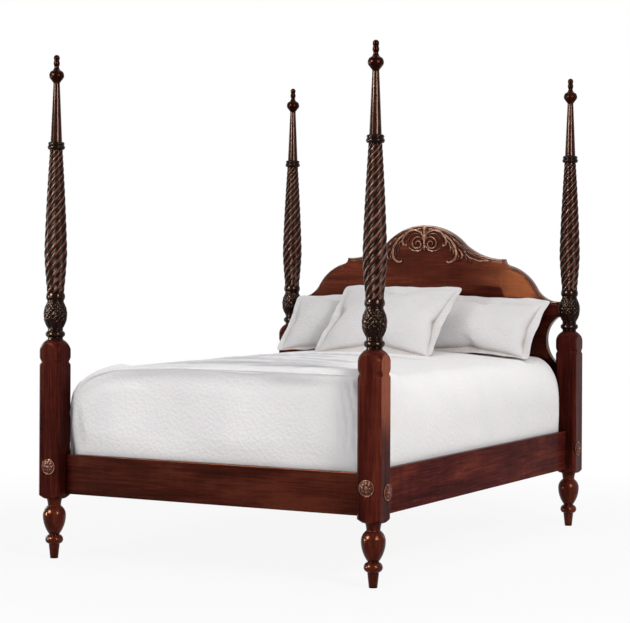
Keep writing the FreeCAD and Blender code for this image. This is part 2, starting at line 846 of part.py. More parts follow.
def make_cover(corner, face):
    """Round rosette that hangs on a pin over a bolt's recess; its back is in its own XY plane."""
    body = new_body("Cover")
    rim = S.cover_radius - S.cover_rim_width
    turn(body, [
        Point(NIL, NIL),
        Point(S.cover_radius, NIL),
        Point(S.cover_radius, S.cover_rim),
        Point(rim, S.cover_rim, FLAT_NEXT),
        Point(S.cover_button_radius, S.cover_petal_height),
        Point(S.cover_button_radius, S.cover_petal_height + S.end_gap, FLAT_NEXT),
        Point(NIL, S.cover_button_height),
    ])
    hole = S.cover_pin_radius + S.running_gap
    seat = S.cover_pin_head_radius + S.joint_gap
    rod(body, "z", NIL, S.cover_pin_offset, seat, S.cover_pin_seat, S.cover_button_height, cut=True)
    rod(body, "z", NIL, S.cover_pin_offset, hole, NIL, S.cover_pin_seat, cut=True)
    stand_off = block_half + S.cover_gap
    if face == "end":
        out = FreeCAD.Vector(0, corner.end, 0)
        place = (corner.x - S.side_rail_inset * corner.side, corner.y + stand_off * corner.end)
        height = side_bolt_height
    else:
        out = FreeCAD.Vector(corner.side, 0, 0)
        place = (corner.x + stand_off * corner.side, corner.y - S.end_rail_inset * corner.end)
        height = end_bolt_height
    keep(body, f"rosette_{corner.name}_{face}", *place, height)
    body.Placement.Rotation = FreeCAD.Rotation(UP.cross(out), UP, out, "ZYX")


def make_cover_pins():
    body = new_body("CoverPins")
    features = []
    for axis, cross, height, face in front_left_bolts():
        pin = height + S.cover_pin_offset
        head = face - S.cover_gap - S.cover_pin_seat - S.running_gap
        tip = face + S.cover_pin_depth
        features.append(rod(body, axis, cross, pin, S.cover_pin_radius, head, tip))
        cap = head - S.cover_pin_head_height
        features.append(rod(body, axis, cross, pin, S.cover_pin_head_radius, cap, head))
    at_corners(body, features)
    keep(body, "cover_pins")


def board_outline():
    """Right half of the headboard's outline, from the middle of its top."""
    edge = post_x - block_half
    ear = post_x - S.ear_depth
    gap = edge - S.gap_depth
    return [
        Point(NIL, crest_top, FLAT_HERE),
        Point(S.crest_half_width, crest_foot, FLAT_NEXT),
        Point(S.shoulder_inner, block_top + S.shoulder_rise),
        Point(S.shoulder_outer, block_top + S.shoulder_rise, UPRIGHT_HERE),
        Point(S.cove_outer, block_top + S.cove_rise, S.sweep_radius),
        Point(S.sweep_outer, block_top + S.sweep_rise, FLAT_NEXT),
        Point(post_x - S.ear_start, block_top + S.ear_rise),
        Point(ear, block_top + S.ear_rise),
        Point(ear, block_top + S.ear_base_rise),
        Point(edge, block_top + S.ear_base_rise, UPRIGHT_NEXT),
        Point(gap, block_top - S.gap_drop, UPRIGHT_HERE),
        Point(edge, board_meet),
        Point(edge, board_bottom),
    ]


def make_headboard():
    """Headboard with a tenon in each block and an ear fitted round the bulb above it."""
    body = new_body("Headboard")
    half = S.board_thickness / 2
    tenon_half = S.tenon_thickness / 2
    prism(body, "y", mirrored(board_outline()), -half, half)
    tenon_end = post_x - block_half + S.tenon_length
    bar(body, "x", (-tenon_half, tenon_half), board_tenon, -tenon_end, tenon_end)
    for side in (-1, 1):
        bulb = bulb_outline(post_x * side, -side, S.joint_gap)
        raised = [point._replace(y=point.y + block_top) for point in bulb]
        turn(body, raised, cut=True, axis_x=post_x * side)
        bottom = (post_x - S.bulb_radius - S.dowel_length / 2 - S.end_gap) * side
        rod(body, "x", NIL, dowel_height, S.dowel_radius + S.joint_gap, post_x * side, bottom, cut=True)
    keep(body, "headboard", y=post_y)


def make_headboard_dowels():
    body = new_body("HeadboardDowels")
    half = S.dowel_length / 2
    for side in (-1, 1):
        middle = (post_x - S.bulb_radius) * side
        rod(body, "x", NIL, dowel_height, S.dowel_radius, middle - half, middle + half)
    keep(body, "headboard_dowels", y=post_y)


def make_carving():
    """Leaf band, two volutes and a hanging leaf on the face of the crest."""
    body = new_body("Carving")
    top = crest_top - S.carving_margin
    foot = crest_foot - S.carving_margin
    band = [
        Point(NIL, top, FLAT_HERE),
        Point(S.crest_half_width, foot),
        Point(S.carving_half_width, foot - S.carving_margin),
        Point(S.crest_half_width, foot - S.carving_depth, FLAT_NEXT),
        Point(NIL, top - S.carving_depth),
    ]
    prism(body, "y", mirrored(band), -S.carving_relief, NIL)
    for side in (-1, 1):
        height = top - S.volute_drop
        rod(body, "y", S.volute_spread * side, height, S.volute_radius, -S.volute_relief, NIL)
    leaf = [
        Point(NIL, top - S.carving_margin),
        Point(S.leaf_half_width, top - S.volute_drop, UPRIGHT_HERE),
        Point(NIL, top - S.leaf_drop),
    ]
    prism(body, "y", mirrored(leaf), -S.leaf_relief, NIL)
    keep(body, "crest_carving", y=post_y - S.board_thickness / 2)


def make_ledger(label, side):
    """Strip along the foot of a side rail that carries the slats."""
    body = new_body("Ledger")
    end = inner_rail_length("side") / 2 - S.ledger_end_gap
    bar(body, "y", (NIL, S.ledger_width * -side), (NIL, S.ledger_height), -end, end)
    sink = (S.ledger_width - S.screw_head_height) * -side
    for place in ledger_screw_places():
        middle = S.ledger_height / 2
        face = S.ledger_width * -side
        rod(body, "x", place, middle, S.screw_radius + S.joint_gap, NIL, face, cut=True)
        rod(body, "x", place, middle, S.screw_head_radius + S.joint_gap, sink, face, cut=True)
    keep(body, label, inner_width / 2 * side, NIL, rail_base + S.ledger_lift)


def make_ledger_screws():
    body = new_body("LedgerScrews")
    for side in (-1, 1):
        tip = (inner_width / 2 + S.screw_bite) * side
        face = (inner_width / 2 - S.ledger_width) * side
        sink = face + S.screw_head_height * side
        for place in ledger_screw_places():
            rod(body, "x", place, NIL, S.screw_radius, sink, tip)
            rod(body, "x", place, NIL, S.screw_head_radius, face, sink)
    keep(body, "ledger_screws", z=ledger_top - S.ledger_height / 2)


def make_slat(index):
    slat = doc.addObject("Part::Box", "Slat")
    length = inner_width - S.slat_end_gap * 2
    bind(slat, "Length", length)
    bind(slat, "Width", S.slat_width)
    bind(slat, "Height", S.slat_thickness)
    reach = inner_length / 2 - S.slat_margin
    place = reach * (2 * index / (SLATS - 1) - 1)
    keep(slat, f"slat_{index + 1}", -length / 2, place - S.slat_width / 2, ledger_top)


def plan_outline(growth, head):
    """Right half of a mattress seen from above, from the middle of its foot, grown all round."""
    half = S.mattress_width / 2 + growth
    foot = foot_end - growth
    return [
        Point(NIL, foot),
        Point(half - S.corner_reach, foot, FLAT_HERE),
        Point(half, foot + S.corner_reach),
        Point(half, head - S.head_corner_reach, UPRIGHT_HERE),
        Point(half - S.head_corner_reach, head),
    ]


def cross_outline(growth, base):
    """Right half of a mattress's section across the bed, from its crown."""
    half = S.mattress_width / 2 + growth
    crown = mattress_base + S.mattress_crown + growth
    return [
        Point(NIL, crown, FLAT_HERE),
        Point(half - S.shoulder_reach, crown - S.shoulder_drop, UPRIGHT_NEXT),
        Point(half, mattress_base + S.mattress_side),
        Point(half, base),
    ]


def long_outline(growth, base, head):
    """Section along the bed, with a deep round edge at the foot and a crisper one at the head."""
    foot = foot_end - growth
    crown = mattress_base + S.mattress_crown + growth
    return [
        Point(foot, base),
        Point(head, base),
        Point(head, mattress_base + S.head_side, UPRIGHT_HERE),
        Point(head - S.head_reach, crown),
        Point(foot + S.foot_reach, crown, FLAT_HERE),
        Point(foot, mattress_base + S.foot_side),
    ]


def make_cushion(growth, base, head):
    """Mattress shape: the space that its plan and its two sections have in common."""
    half = S.mattress_width / 2 + growth
    crown = mattress_base + S.mattress_crown + growth
    plan, cross, long = new_body("Plan"), new_body("Cross"), new_body("Long")
    prism(plan, "z", mirrored(plan_outline(growth, head)), base, crown)
    prism(cross, "y", mirrored(cross_outline(growth, base)), foot_end - growth, head)
    prism(long, "x", long_outline(growth, base, head), -half, half)
    cushion = doc.addObject("Part::MultiCommon", "Cushion")
    cushion.Shapes = [plan, cross, long]
    return cushion


def make_bedding():
    keep(make_cushion(NIL, mattress_base, head_end), "mattress")
    hem = rail_base + S.side_rail_height - S.tuck_depth
    coverlet = doc.addObject("Part::Cut", "Coverlet")
    coverlet.Base = make_cushion(coverlet_growth, hem, head_end)
    coverlet.Tool = make_cushion(S.soft_gap, hem - S.end_gap, head_end + S.head_gap / 2)
    keep(coverlet, "coverlet")


def make_box_spring():
    body = new_body("BoxSpring")
    plan = plan_outline(-S.box_inset, head_end - S.box_inset)
    prism(body, "z", mirrored(plan), slat_top, slat_top + S.box_height)
    keep(body, "box_spring")


def make_flange(height):
    """Flat border of a pillow, drawn in along its four sides."""
    body = new_body("Flange")
    half_width = S.pillow_width / 2
    half_height = height / 2
    drawn_height = half_height - S.side_draw
    right = [
        Point(NIL, -drawn_height, FLAT_HERE),
        Point(half_width, -half_height, UPRIGHT_NEXT),
        Point(half_width - S.side_draw, NIL, UPRIGHT_HERE),
        Point(half_width, half_height, FLAT_NEXT),
        Point(NIL, drawn_height),
    ]
    half = S.flange_thickness / 2
    prism(body, "z", mirrored(right), -half, half)
    return body


def make_puff(height):
    """Stuffed middle of a pillow: lens sections that swell from one end to the other."""
    reach = S.pillow_width.number / 2 - S.flange_width.number
    half_height = height.number / 2 - S.flange_width.number
    sections = []
    for i in range(PILLOW_SECTIONS):
        share = 2 * i / (PILLOW_SECTIONS - 1) - 1
        swell = math.sqrt(1 - share ** 2)
        flat = S.flange_thickness.number / 4
        rise = flat + swell * (S.pillow_thickness.number / 2 - flat)
        half = half_height - S.side_draw.number * swell
        x = reach * share
        left, right = FreeCAD.Vector(x, -half, 0), FreeCAD.Vector(x, half, 0)
        front = Part.Arc(left, FreeCAD.Vector(x, 0, rise), right).toShape()
        back = Part.Arc(right, FreeCAD.Vector(x, 0, -rise), left).toShape()
        sections.append(Part.Wire([front, back]))
    feature = doc.addObject("Part::Feature", "Puff")
    feature.Shape = Part.makeLoft(sections, True, False)
    return feature


def crown_fall(x):
    """How far the top of the made-up bed falls from the centre line out to x."""
    half = S.mattress_width / 2 + coverlet_growth - S.shoulder_reach
    return x * x * S.shoulder_drop / (half * half + S.shoulder_drop * S.shoulder_drop)


def make_pillow(label, height, lean, top_y, side):
    """Pillow that stands on its lower edge and leans back; off the centre line it tilts with the bed."""
    pillow = doc.addObject("Part::MultiFuse", "Pillow")
    pillow.Shapes = [make_flange(height), make_puff(height)]
    half_width = S.pillow_width / 2
    rise = sin(lean) * height / 2 + cos(lean) * S.flange_thickness / 2
    run = cos(lean) * height / 2 + sin(lean) * S.flange_thickness / 2
    x = S.back_pillow_centre * side
    tilt = S.back_pillow_tilt * side
    corner_x = S.back_pillow_centre - half_width if side else half_width
    corner_drop = rise * cos(tilt) - half_width * sin(S.back_pillow_tilt * abs(side))
    keep(pillow, label, x, top_y - run, bed_top - crown_fall(corner_x) + S.soft_gap + corner_drop)
    across = FreeCAD.Rotation(FreeCAD.Vector(0, 1, 0), tilt.number)
    pillow.Placement.Rotation = across * FreeCAD.Rotation(FreeCAD.Vector(1, 0, 0), lean.number)


def make_pillows():
    back_top = post_y - S.board_thickness / 2 - S.back_pillow_gap
    for label, side in (("pillow_left", -1), ("pillow_right", 1)):
        make_pillow(label, S.back_pillow_height, S.back_pillow_lean, back_top, side)
    front_top = back_top - S.front_pillow_advance
    make_pillow("pillow_front", S.front_pillow_height, S.front_pillow_lean, front_top, 0)


def build():
    twist = make_twist()
    for corner in CORNERS:
        make_foot(corner)
        make_block(corner)
        make_shaft(corner, twist)
        make_finial(corner)
        make_cover(corner, "end")
        make_cover(corner, "side")
    make_finial_pins()
    make_rails()
    make_bolts()
    make_nuts()
    make_cover_pins()
    make_headboard()
    make_headboard_dowels()
    make_carving()
    make_ledger("ledger_left", -1)
    make_ledger("ledger_right", 1)
    make_ledger_screws()
    for index in range(SLATS):
        make_slat(index)
    make_box_spring()
    make_bedding()
    make_pillows()
    doc.recompute()


def check_features():
    """Stop if a feature failed, or if a cut took nothing away."""
    for item in doc.Objects:
        if {"Invalid", "Error"} & set(item.State):
            raise RuntimeError(f"{item.Name} in {item.InList[:1]} failed: {item.State}")
        if item.TypeId in ("PartDesign::Pocket", "PartDesign::Groove"):
            if item.Shape.Volume >= item.BaseFeature.Shape.Volume:
                raise RuntimeError(f"{item.Name} cuts nothing")


def write_parts():
    for item in parts:
        if item.Shape.isNull() or not item.Shape.isValid():
            raise RuntimeError(f"{item.Label} has no valid shape")
    os.makedirs("parts", exist_ok=True)
    for item in parts:
        item.Shape.exportStep(f"parts/{item.Label}.step")
        print(item.Label, len(item.Shape.Solids), round(item.Shape.Volume / 1000), "cm3")


build()
check_features()
write_parts()
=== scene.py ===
import math

import bmesh
import bpy
import numpy as np
from mathutils import Matrix, Vector


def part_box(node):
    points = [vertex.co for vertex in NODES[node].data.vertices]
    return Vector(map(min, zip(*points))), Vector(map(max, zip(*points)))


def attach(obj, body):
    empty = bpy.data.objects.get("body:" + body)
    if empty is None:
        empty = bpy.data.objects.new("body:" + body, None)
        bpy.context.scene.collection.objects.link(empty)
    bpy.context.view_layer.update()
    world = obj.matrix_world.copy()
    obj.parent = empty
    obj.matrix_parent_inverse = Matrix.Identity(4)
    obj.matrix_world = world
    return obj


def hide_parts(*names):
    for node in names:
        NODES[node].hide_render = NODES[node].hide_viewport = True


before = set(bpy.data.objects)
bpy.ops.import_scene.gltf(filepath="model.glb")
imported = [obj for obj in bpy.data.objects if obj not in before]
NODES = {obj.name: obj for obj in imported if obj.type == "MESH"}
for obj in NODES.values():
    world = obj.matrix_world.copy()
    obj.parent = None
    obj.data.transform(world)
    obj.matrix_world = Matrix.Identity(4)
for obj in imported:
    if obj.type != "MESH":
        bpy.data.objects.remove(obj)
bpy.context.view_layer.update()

# All lengths are in metres. +X is the right side, +Y the head end and Z is up from the floor.
CORNERS = {
    "front_left": (-1, -1),
    "front_right": (1, -1),
    "back_left": (-1, 1),
    "back_right": (1, 1),
}
POST_X = 0.790
POST_Y = 1.0775
FULL_TURN = 2 * math.pi
MIRROR_X = np.array((-1, 1))


# Helpers for meshes

def link(name, data):
    """A new object in the scene."""
    thing = bpy.data.objects.new(name, data)
    bpy.context.scene.collection.objects.link(thing)
    return thing


def make_piece(name, points, faces, material, body):
    """A smooth mesh in the shared frame that rides on a body."""
    mesh = bpy.data.meshes.new(name)
    mesh.from_pydata(np.asarray(points, float).tolist(), [], faces)
    mesh.update()
    mesh.shade_smooth()
    mesh.materials.append(material)
    piece = link(name, mesh)
    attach(piece, body)
    return piece


def grid_faces(rows, columns, wrap=False, start=0):
    """Quads of a grid stored row by row; wrap joins the last column to the first."""
    faces = []
    for row in range(start, start + (rows - 1) * columns, columns):
        for column in range(columns if wrap else columns - 1):
            here, beside = row + column, row + (column + 1) % columns
            faces.append((here, beside, beside + columns, here + columns))
    return faces


def end_caps(rows, columns):
    """One face on the first row of a grid and one on its last."""
    last = (rows - 1) * columns
    return [tuple(range(columns))[::-1], tuple(range(last, last + columns))]


def paint(piece, layer_name, values):
    """Stores one number for each point of the mesh, for a material to read."""
    layer = piece.data.attributes.new(layer_name, "FLOAT", "POINT")
    layer.data.foreach_set("value", np.asarray(values, np.float32).ravel())


def smooth_step(low, high, value):
    """Eases from 0 at low to 1 at high."""
    share = np.clip((np.asarray(value, float) - low) / (high - low), 0, 1)
    return share * share * (3 - 2 * share)


def bell(distance, width):
    return np.exp(-((distance / width) ** 2))


def unit(vectors):
    """The same directions, each 1 long."""
    length = np.linalg.norm(vectors, axis=-1)[..., None]
    return vectors / np.maximum(length, 1e-9)


def curve_through(points, count):
    """A smooth line of count points through the given ones."""
    padded = np.vstack([2 * points[0] - points[1], points, 2 * points[-1] - points[-2]])
    line = []
    for place in np.linspace(0, len(points) - 1 - 1e-9, count):
        k = int(place)
        t = place - k
        a, b, c, d = padded[k:k + 4]
        line.append(
            0.5 * (2 * b + (c - a) * t + (2 * a - 5 * b + 4 * c - d) * t**2
                   + (3 * b - a - 3 * c + d) * t**3)
        )
    return np.array(line)


def waves(points, size, seed, count=9):
    """A smooth random field of about -1 to 1 with features of that size."""
    random = np.random.default_rng(seed)
    total = np.zeros(len(points))
    for _ in range(count):
        direction = random.normal(size=3)
        direction *= random.uniform(0.6, 1.5) / (size * np.linalg.norm(direction))
        total += np.sin(points @ direction * math.pi + random.uniform(0, FULL_TURN))
    return total / math.sqrt(count)


CORD_SIDES = 10
# A direction that no cord runs along.
CORD_LEAN = (0.13, 0.21, 0.97)


def cord(name, line, radius, material, closed=False):
    """A round cord along a line, on the bed's frame."""
    ahead = np.gradient(line, axis=0)
    if closed:
        ahead = np.roll(line, -1, 0) - np.roll(line, 1, 0)
    ahead = unit(ahead)
    aside = unit(np.cross(ahead, CORD_LEAN))
    above = np.cross(aside, ahead)
    turn = np.linspace(0, FULL_TURN, CORD_SIDES, endpoint=False)[None, :, None]
    ring = np.cos(turn) * aside[:, None, :] + np.sin(turn) * above[:, None, :]
    points = (line[:, None, :] + radius * ring).reshape(-1, 3)
    faces = grid_faces(len(line), CORD_SIDES, wrap=True)
    if closed:
        last = (len(line) - 1) * CORD_SIDES
        for k in range(CORD_SIDES):
            after = (k + 1) % CORD_SIDES
            faces.append((last + k, last + after, after, k))
    else:
        faces += end_caps(len(line), CORD_SIDES)
    make_piece(name, points, faces, material, "frame")


# Helpers for materials

def new_tree(name):
    material = bpy.data.materials.new(name)
    material.use_nodes = True
    material.node_tree.nodes.clear()
    return material, material.node_tree


def give(tree, socket, value):
    if isinstance(value, bpy.types.NodeSocket):
        tree.links.new(value, socket)
    else:
        socket.default_value = value


def add(tree, kind, settings=None, **sockets):
    """A shader node; socket names have _ for a blank, and values are numbers or other sockets."""
    node = tree.nodes.new("ShaderNode" + kind)
    for name, value in (settings or {}).items():
        setattr(node, name, value)
    for name, value in sockets.items():
        give(tree, node.inputs[name.replace("_", " ")], value)
    return node


def math_node(tree, operation, first, second):
    node = add(tree, "Math", {"operation": operation})
    give(tree, node.inputs[0], first)
    give(tree, node.inputs[1], second)
    return node.outputs[0]


def weighted(tree, *terms):
    """The sum of some sockets, each times its weight."""
    parts = [math_node(tree, "MULTIPLY", socket, weight) for socket, weight in terms]
    total = parts[0]
    for part in parts[1:]:
        total = math_node(tree, "ADD", total, part)
    return total


def mix_colour(tree, factor, first, second, blend="MIX"):
    node = add(tree, "Mix", {"data_type": "RGBA", "blend_type": blend})
    give(tree, node.inputs[0], factor)
    give(tree, node.inputs[6], first)
    give(tree, node.inputs[7], second)
    return node.outputs[2]


def ramp(tree, factor, stops):
    """A colour ramp; each stop is a place and a colour or a grey number."""
    node = add(tree, "ValToRGB", Fac=factor)
    elements = node.color_ramp.elements
    while len(elements) < len(stops):
        elements.new(0.5)
    for element, (place, colour) in zip(elements, stops):
        element.position = place
        grey = isinstance(colour, (int, float))
        element.color = (colour, colour, colour, 1) if grey else (*colour, 1)
    return node.outputs["Color"]


def object_place(tree):
    return add(tree, "TexCoord").outputs["Object"]


def stretched_noise(tree, scale, detail, roughness, distortion=0.0):
    """Noise in the shared frame, with its own scale along each axis."""
    mapping = add(tree, "Mapping", Vector=object_place(tree), Scale=scale)
    texture = add(
        tree, "TexNoise", Vector=mapping.outputs["Vector"], Scale=1.0, Detail=detail,
        Roughness=roughness, Distortion=distortion,
    )
    return texture.outputs["Fac"]


def along(axis, length_scale, cross_scale):
    scale = [cross_scale] * 3
    scale[axis] = length_scale
    return tuple(scale)


def painted(tree, layer_name):
    return add(tree, "Attribute", {"attribute_name": layer_name}).outputs["Fac"]


def openness(tree, distance):
    """1 on open surfaces, less in corners and hollows of that size."""
    return add(tree, "AmbientOcclusion", {"samples": 6}, Distance=distance).outputs["AO"]


def bumps(tree, strength, distance, height, **sockets):
    node = add(tree, "Bump", Strength=strength, Distance=distance, Height=height, **sockets)
    return node.outputs["Normal"]


def finish_surface(tree, **sockets):
    surface = add(tree, "BsdfPrincipled", **sockets)
    output = add(tree, "OutputMaterial")
    tree.links.new(surface.outputs["BSDF"], output.inputs["Surface"])


# Materials

DARK_WOOD = (0.026, 0.0040, 0.0034)
MID_WOOD = (0.062, 0.0092, 0.0070)
LIGHT_WOOD = (0.125, 0.0240, 0.0135)
TAN_WOOD = (0.30, 0.115, 0.050)
POLISH_TINT = (1.0, 0.40, 0.18, 1)
CARVED_TINT = (1.0, 0.74, 0.58, 1)
EDGE_WEAR = 0.006


def mahogany(name, axis, polish, tone, shade_reach=0.018, gloss=(0.14, 0.26)):
    """Polished mahogany: grain along one axis, paler rubbed edges, and painted shade in hollows
    and next to other parts.
    """
    def toned(colour):
        return tuple(tone * part for part in colour)

    material, tree = new_tree(name)
    figure = stretched_noise(tree, along(axis, 1.1, 9.0), 4.0, 0.55, 0.8)
    grain = stretched_noise(tree, along(axis, 5.0, 95.0), 7.0, 0.62, 0.35)
    pores = stretched_noise(tree, along(axis, 28.0, 620.0), 3.0, 0.5)
    ribbon = stretched_noise(tree, along(axis, 26.0, 3.0), 3.0, 0.5, 0.5)
    blend = weighted(tree, (figure, 0.54), (grain, 0.38), (ribbon, 0.08))
    stops = [(0.39, toned(DARK_WOOD)), (0.50, toned(MID_WOOD)), (0.61, toned(LIGHT_WOOD))]
    colour = ramp(tree, blend, stops)
    streak = ramp(tree, pores, [(0.38, 0.62), (0.52, 1.0)])
    colour = mix_colour(tree, 0.7, colour, streak, "MULTIPLY")
    rounded = add(tree, "Bevel", {"samples": 4}, Radius=EDGE_WEAR).outputs["Normal"]
    turn = add(tree, "VectorMath", {"operation": "DOT_PRODUCT"})
    tree.links.new(rounded, turn.inputs[0])
    tree.links.new(add(tree, "NewGeometry").outputs["Normal"], turn.inputs[1])
    edge = ramp(tree, turn.outputs["Value"], [(0.72, 1.0), (0.985, 0.0)])
    worn = math_node(tree, "MULTIPLY", edge, math_node(tree, "MULTIPLY", grain, 0.40))
    colour = mix_colour(tree, worn, colour, (*toned(TAN_WOOD), 1))
    # Painted shade: the colour darkens where other surfaces lie within the shade reach, in hollows
    # and next to other parts.
    painted_shade = ramp(tree, openness(tree, shade_reach), [(0.35, 0.18), (0.85, 1.0)])
    colour = mix_colour(tree, 1.0, colour, painted_shade, "MULTIPLY")
    finish_surface(
        tree, Base_Color=colour, Normal=bumps(tree, 0.10, 0.0006, pores, Normal=rounded),
        Roughness=ramp(tree, figure, [(0.3, gloss[0]), (0.7, gloss[1])]),
        Specular_IOR_Level=polish, Specular_Tint=POLISH_TINT,
    )
    return material


# Colours along the relief: painted shade in the carved valleys, rising to a painted highlight on
# the crests.
CARVED_SHAFT = [
    (0.22, (0.0026, 0.0007, 0.0005)), (0.74, (0.0100, 0.0021, 0.0016)),
    (0.93, (0.0400, 0.0084, 0.0060)), (1.0, (0.150, 0.060, 0.042)),
]
CARVED_CREST = [
    (0.14, (0.0080, 0.0020, 0.0016)), (0.60, (0.0440, 0.0094, 0.0068)),
    (0.90, (0.125, 0.036, 0.024)), (1.0, (0.33, 0.150, 0.095)),
]
CARVED_FLOWER = [
    (0.14, (0.0200, 0.0044, 0.0036)), (0.45, (0.0750, 0.0160, 0.0120)),
    (0.80, (0.130, 0.040, 0.026)), (1.0, (0.26, 0.110, 0.072)),
]


def carved_mahogany(name, axis, shade_and_highlight, polish, gloss=((0.2, 0.24), (0.9, 0.19))):
    """Mahogany with painted shade in its carved valleys and a painted highlight on its crests,
    both set by the relief layer.
    """
    material, tree = new_tree(name)
    grain = stretched_noise(tree, along(axis, 9.0, 130.0), 6.0, 0.6, 0.3)
    patches = stretched_noise(tree, (38.0, 38.0, 38.0), 3.0, 0.6)
    patches = math_node(tree, "SUBTRACT", patches, 0.5)
    level = weighted(tree, (painted(tree, "relief"), 1.0), (patches, 0.45))
    streak = ramp(tree, grain, [(0.34, 0.62), (0.62, 1.08)])
    colour = mix_colour(tree, 0.75, ramp(tree, level, shade_and_highlight), streak, "MULTIPLY")
    finish_surface(
        tree, Base_Color=colour, Roughness=ramp(tree, level, gloss),
        Normal=bumps(tree, 0.22, 0.0010, grain),
        Specular_IOR_Level=polish, Specular_Tint=CARVED_TINT,
    )
    return material


def plain_timber(name, axis):
    """Unfinished pine for the ledgers, slats and dowels."""
    material, tree = new_tree(name)
    rings = stretched_noise(tree, along(axis, 1.6, 46.0), 5.0, 0.55, 0.9)
    fine = stretched_noise(tree, along(axis, 9.0, 260.0), 4.0, 0.5)
    colour = ramp(tree, rings, [
        (0.34, (0.33, 0.19, 0.085)), (0.52, (0.52, 0.34, 0.17)), (0.68, (0.62, 0.44, 0.25)),
    ])
    streak = ramp(tree, fine, [(0.35, 0.72), (0.6, 1.0)])
    colour = mix_colour(tree, 0.4, colour, streak, "MULTIPLY")
    normal = bumps(tree, 0.15, 0.0006, fine)
    finish_surface(tree, Base_Color=colour, Roughness=0.62, Normal=normal)
    return material


def brushed_steel(name, dark, light):
    material, tree = new_tree(name)
    brushed = stretched_noise(tree, (420.0, 420.0, 60.0), 4.0, 0.6)
    colour = ramp(tree, brushed, [(0.3, dark), (0.7, light)])
    gloss = ramp(tree, brushed, [(0.3, 0.28), (0.7, 0.46)])
    finish_surface(tree, Base_Color=colour, Metallic=1.0, Roughness=gloss)
    return material


def quilted_cotton(name, cell, white, shade, fold):
    """White cotton with a small stitched figure, and painted shade in its folds, crevices and
    creases.
    """
    material, tree = new_tree(name)
    place = object_place(tree)
    figure = add(
        tree, "TexVoronoi", {"feature": "SMOOTH_F1"}, Vector=place, Scale=1.0 / cell,
        Smoothness=0.6,
    )
    weave = add(tree, "TexNoise", Vector=place, Scale=900.0, Detail=2.0)
    tone = stretched_noise(tree, (7.0, 7.0, 7.0), 3.0, 0.5)
    colour = ramp(tree, tone, [(0.3, shade), (0.62, white)])
    # Painted shade in crevices and where other things lie close, in the fold colour.
    crevice = ramp(tree, openness(tree, 0.06), [(0.30, 1.0), (0.80, 0.0)])
    colour = mix_colour(tree, crevice, colour, (*fold, 1))
    colour = mix_colour(tree, painted(tree, "crease_shade"), colour, (*fold, 1))
    height = weighted(tree, (figure.outputs["Distance"], 1.0), (weave.outputs["Fac"], 0.25))
    finish_surface(
        tree, Base_Color=colour, Roughness=0.88, Normal=bumps(tree, 0.60, 0.0040, height),
        Sheen_Weight=0.15, Sheen_Roughness=0.5, Specular_IOR_Level=0.02,
    )
    return material


def striped_ticking(name, axis):
    """Cream ticking with narrow grey-blue stripes."""
    material, tree = new_tree(name)
    stripes = add(
        tree, "TexWave", {"wave_type": "BANDS", "bands_direction": "XYZ"[axis]},
        Vector=object_place(tree), Scale=10.0, Distortion=0.15, Detail=1.0,
    )
    weave = stretched_noise(tree, (700.0, 700.0, 700.0), 2.0, 0.5)
    colour = ramp(tree, stripes.outputs["Fac"], [
        (0.0, (0.27, 0.32, 0.40)), (0.22, (0.29, 0.34, 0.42)),
        (0.27, (0.68, 0.65, 0.58)), (1.0, (0.70, 0.67, 0.60)),
    ])
    normal = bumps(tree, 0.2, 0.0006, weave)
    finish_surface(tree, Base_Color=colour, Roughness=0.85, Normal=normal)
    return material


upright_wood = mahogany("mahogany_upright", 2, 0.030, 0.94, shade_reach=0.13)
dark_wood = mahogany("mahogany_dark", 2, 0.048, 0.24)
turned_wood = mahogany("mahogany_turned", 2, 0.12, 0.84, gloss=(0.16, 0.24))
cross_wood = mahogany("mahogany_cross", 0, 0.10, 0.66, shade_reach=0.05)
# The board's long shade reach paints shade on it behind the pillows and the mattress.
board_wood = mahogany("mahogany_board", 0, 0.26, 1.28, shade_reach=0.32, gloss=(0.08, 0.14))
long_wood = mahogany("mahogany_long", 1, 0.008, 1.25, shade_reach=0.05)
SHAFT_GLOSS = ((0.2, 0.15), (0.9, 0.13))
carved_upright = carved_mahogany("carved_upright", 2, CARVED_SHAFT, 0.080, gloss=SHAFT_GLOSS)
carved_cross = carved_mahogany("carved_cross", 0, CARVED_CREST, 0.26)
carved_flower = carved_mahogany("carved_flower", 2, CARVED_FLOWER, 0.12)
cross_pine = plain_timber("pine_cross", 0)
long_pine = plain_timber("pine_long", 1)
steel = brushed_steel("brushed_steel", (0.048, 0.048, 0.050), (0.105, 0.105, 0.107))
bronzed_steel = brushed_steel("bronzed_steel", (0.085, 0.034, 0.022), (0.195, 0.085, 0.054))
coverlet_cloth = quilted_cotton(
    "coverlet_cloth", 0.014, (0.84, 0.820, 0.822), (0.815, 0.80, 0.805), (0.47, 0.47, 0.505),
)
# The shams' white is darker than the coverlet's as a painted shade against the stronger light on
# the pillows, and their fold shade is warm.
pillow_cloth = quilted_cotton(
    "pillow_cloth", 0.011, (0.65, 0.63, 0.635), (0.61, 0.595, 0.60), (0.44, 0.38, 0.34),
)
ticking = striped_ticking("ticking", 0)


def finish_nodes(names, material):
    for name in names:
        data = NODES[name].data
        data.materials.clear()
        data.materials.append(material)


finish_nodes([f"post_block_{corner}" for corner in CORNERS], upright_wood)
finish_nodes([f"foot_{corner}" for corner in CORNERS], turned_wood)
finish_nodes([f"finial_{corner}" for corner in CORNERS], dark_wood)
finish_nodes(["side_rail_left", "side_rail_right"], long_wood)
finish_nodes(["foot_rail", "head_rail"], cross_wood)
finish_nodes(["headboard"], board_wood)
finish_nodes(["ledger_left", "ledger_right"], long_pine)
finish_nodes([f"slat_{k}" for k in range(1, 6)] + ["headboard_dowels"], cross_pine)
finish_nodes(["finial_pins", "bed_bolts", "barrel_nuts", "ledger_screws"], steel)
finish_nodes(["cover_pins"], bronzed_steel)


# Carved post shafts

BLOCK_TOP = 0.966
TWIST_BASE = 0.206
TWIST_TOP = 0.839
BULB_BASE = 0.050
BULB_TOP = 0.166
TAPER_BASE = 0.874
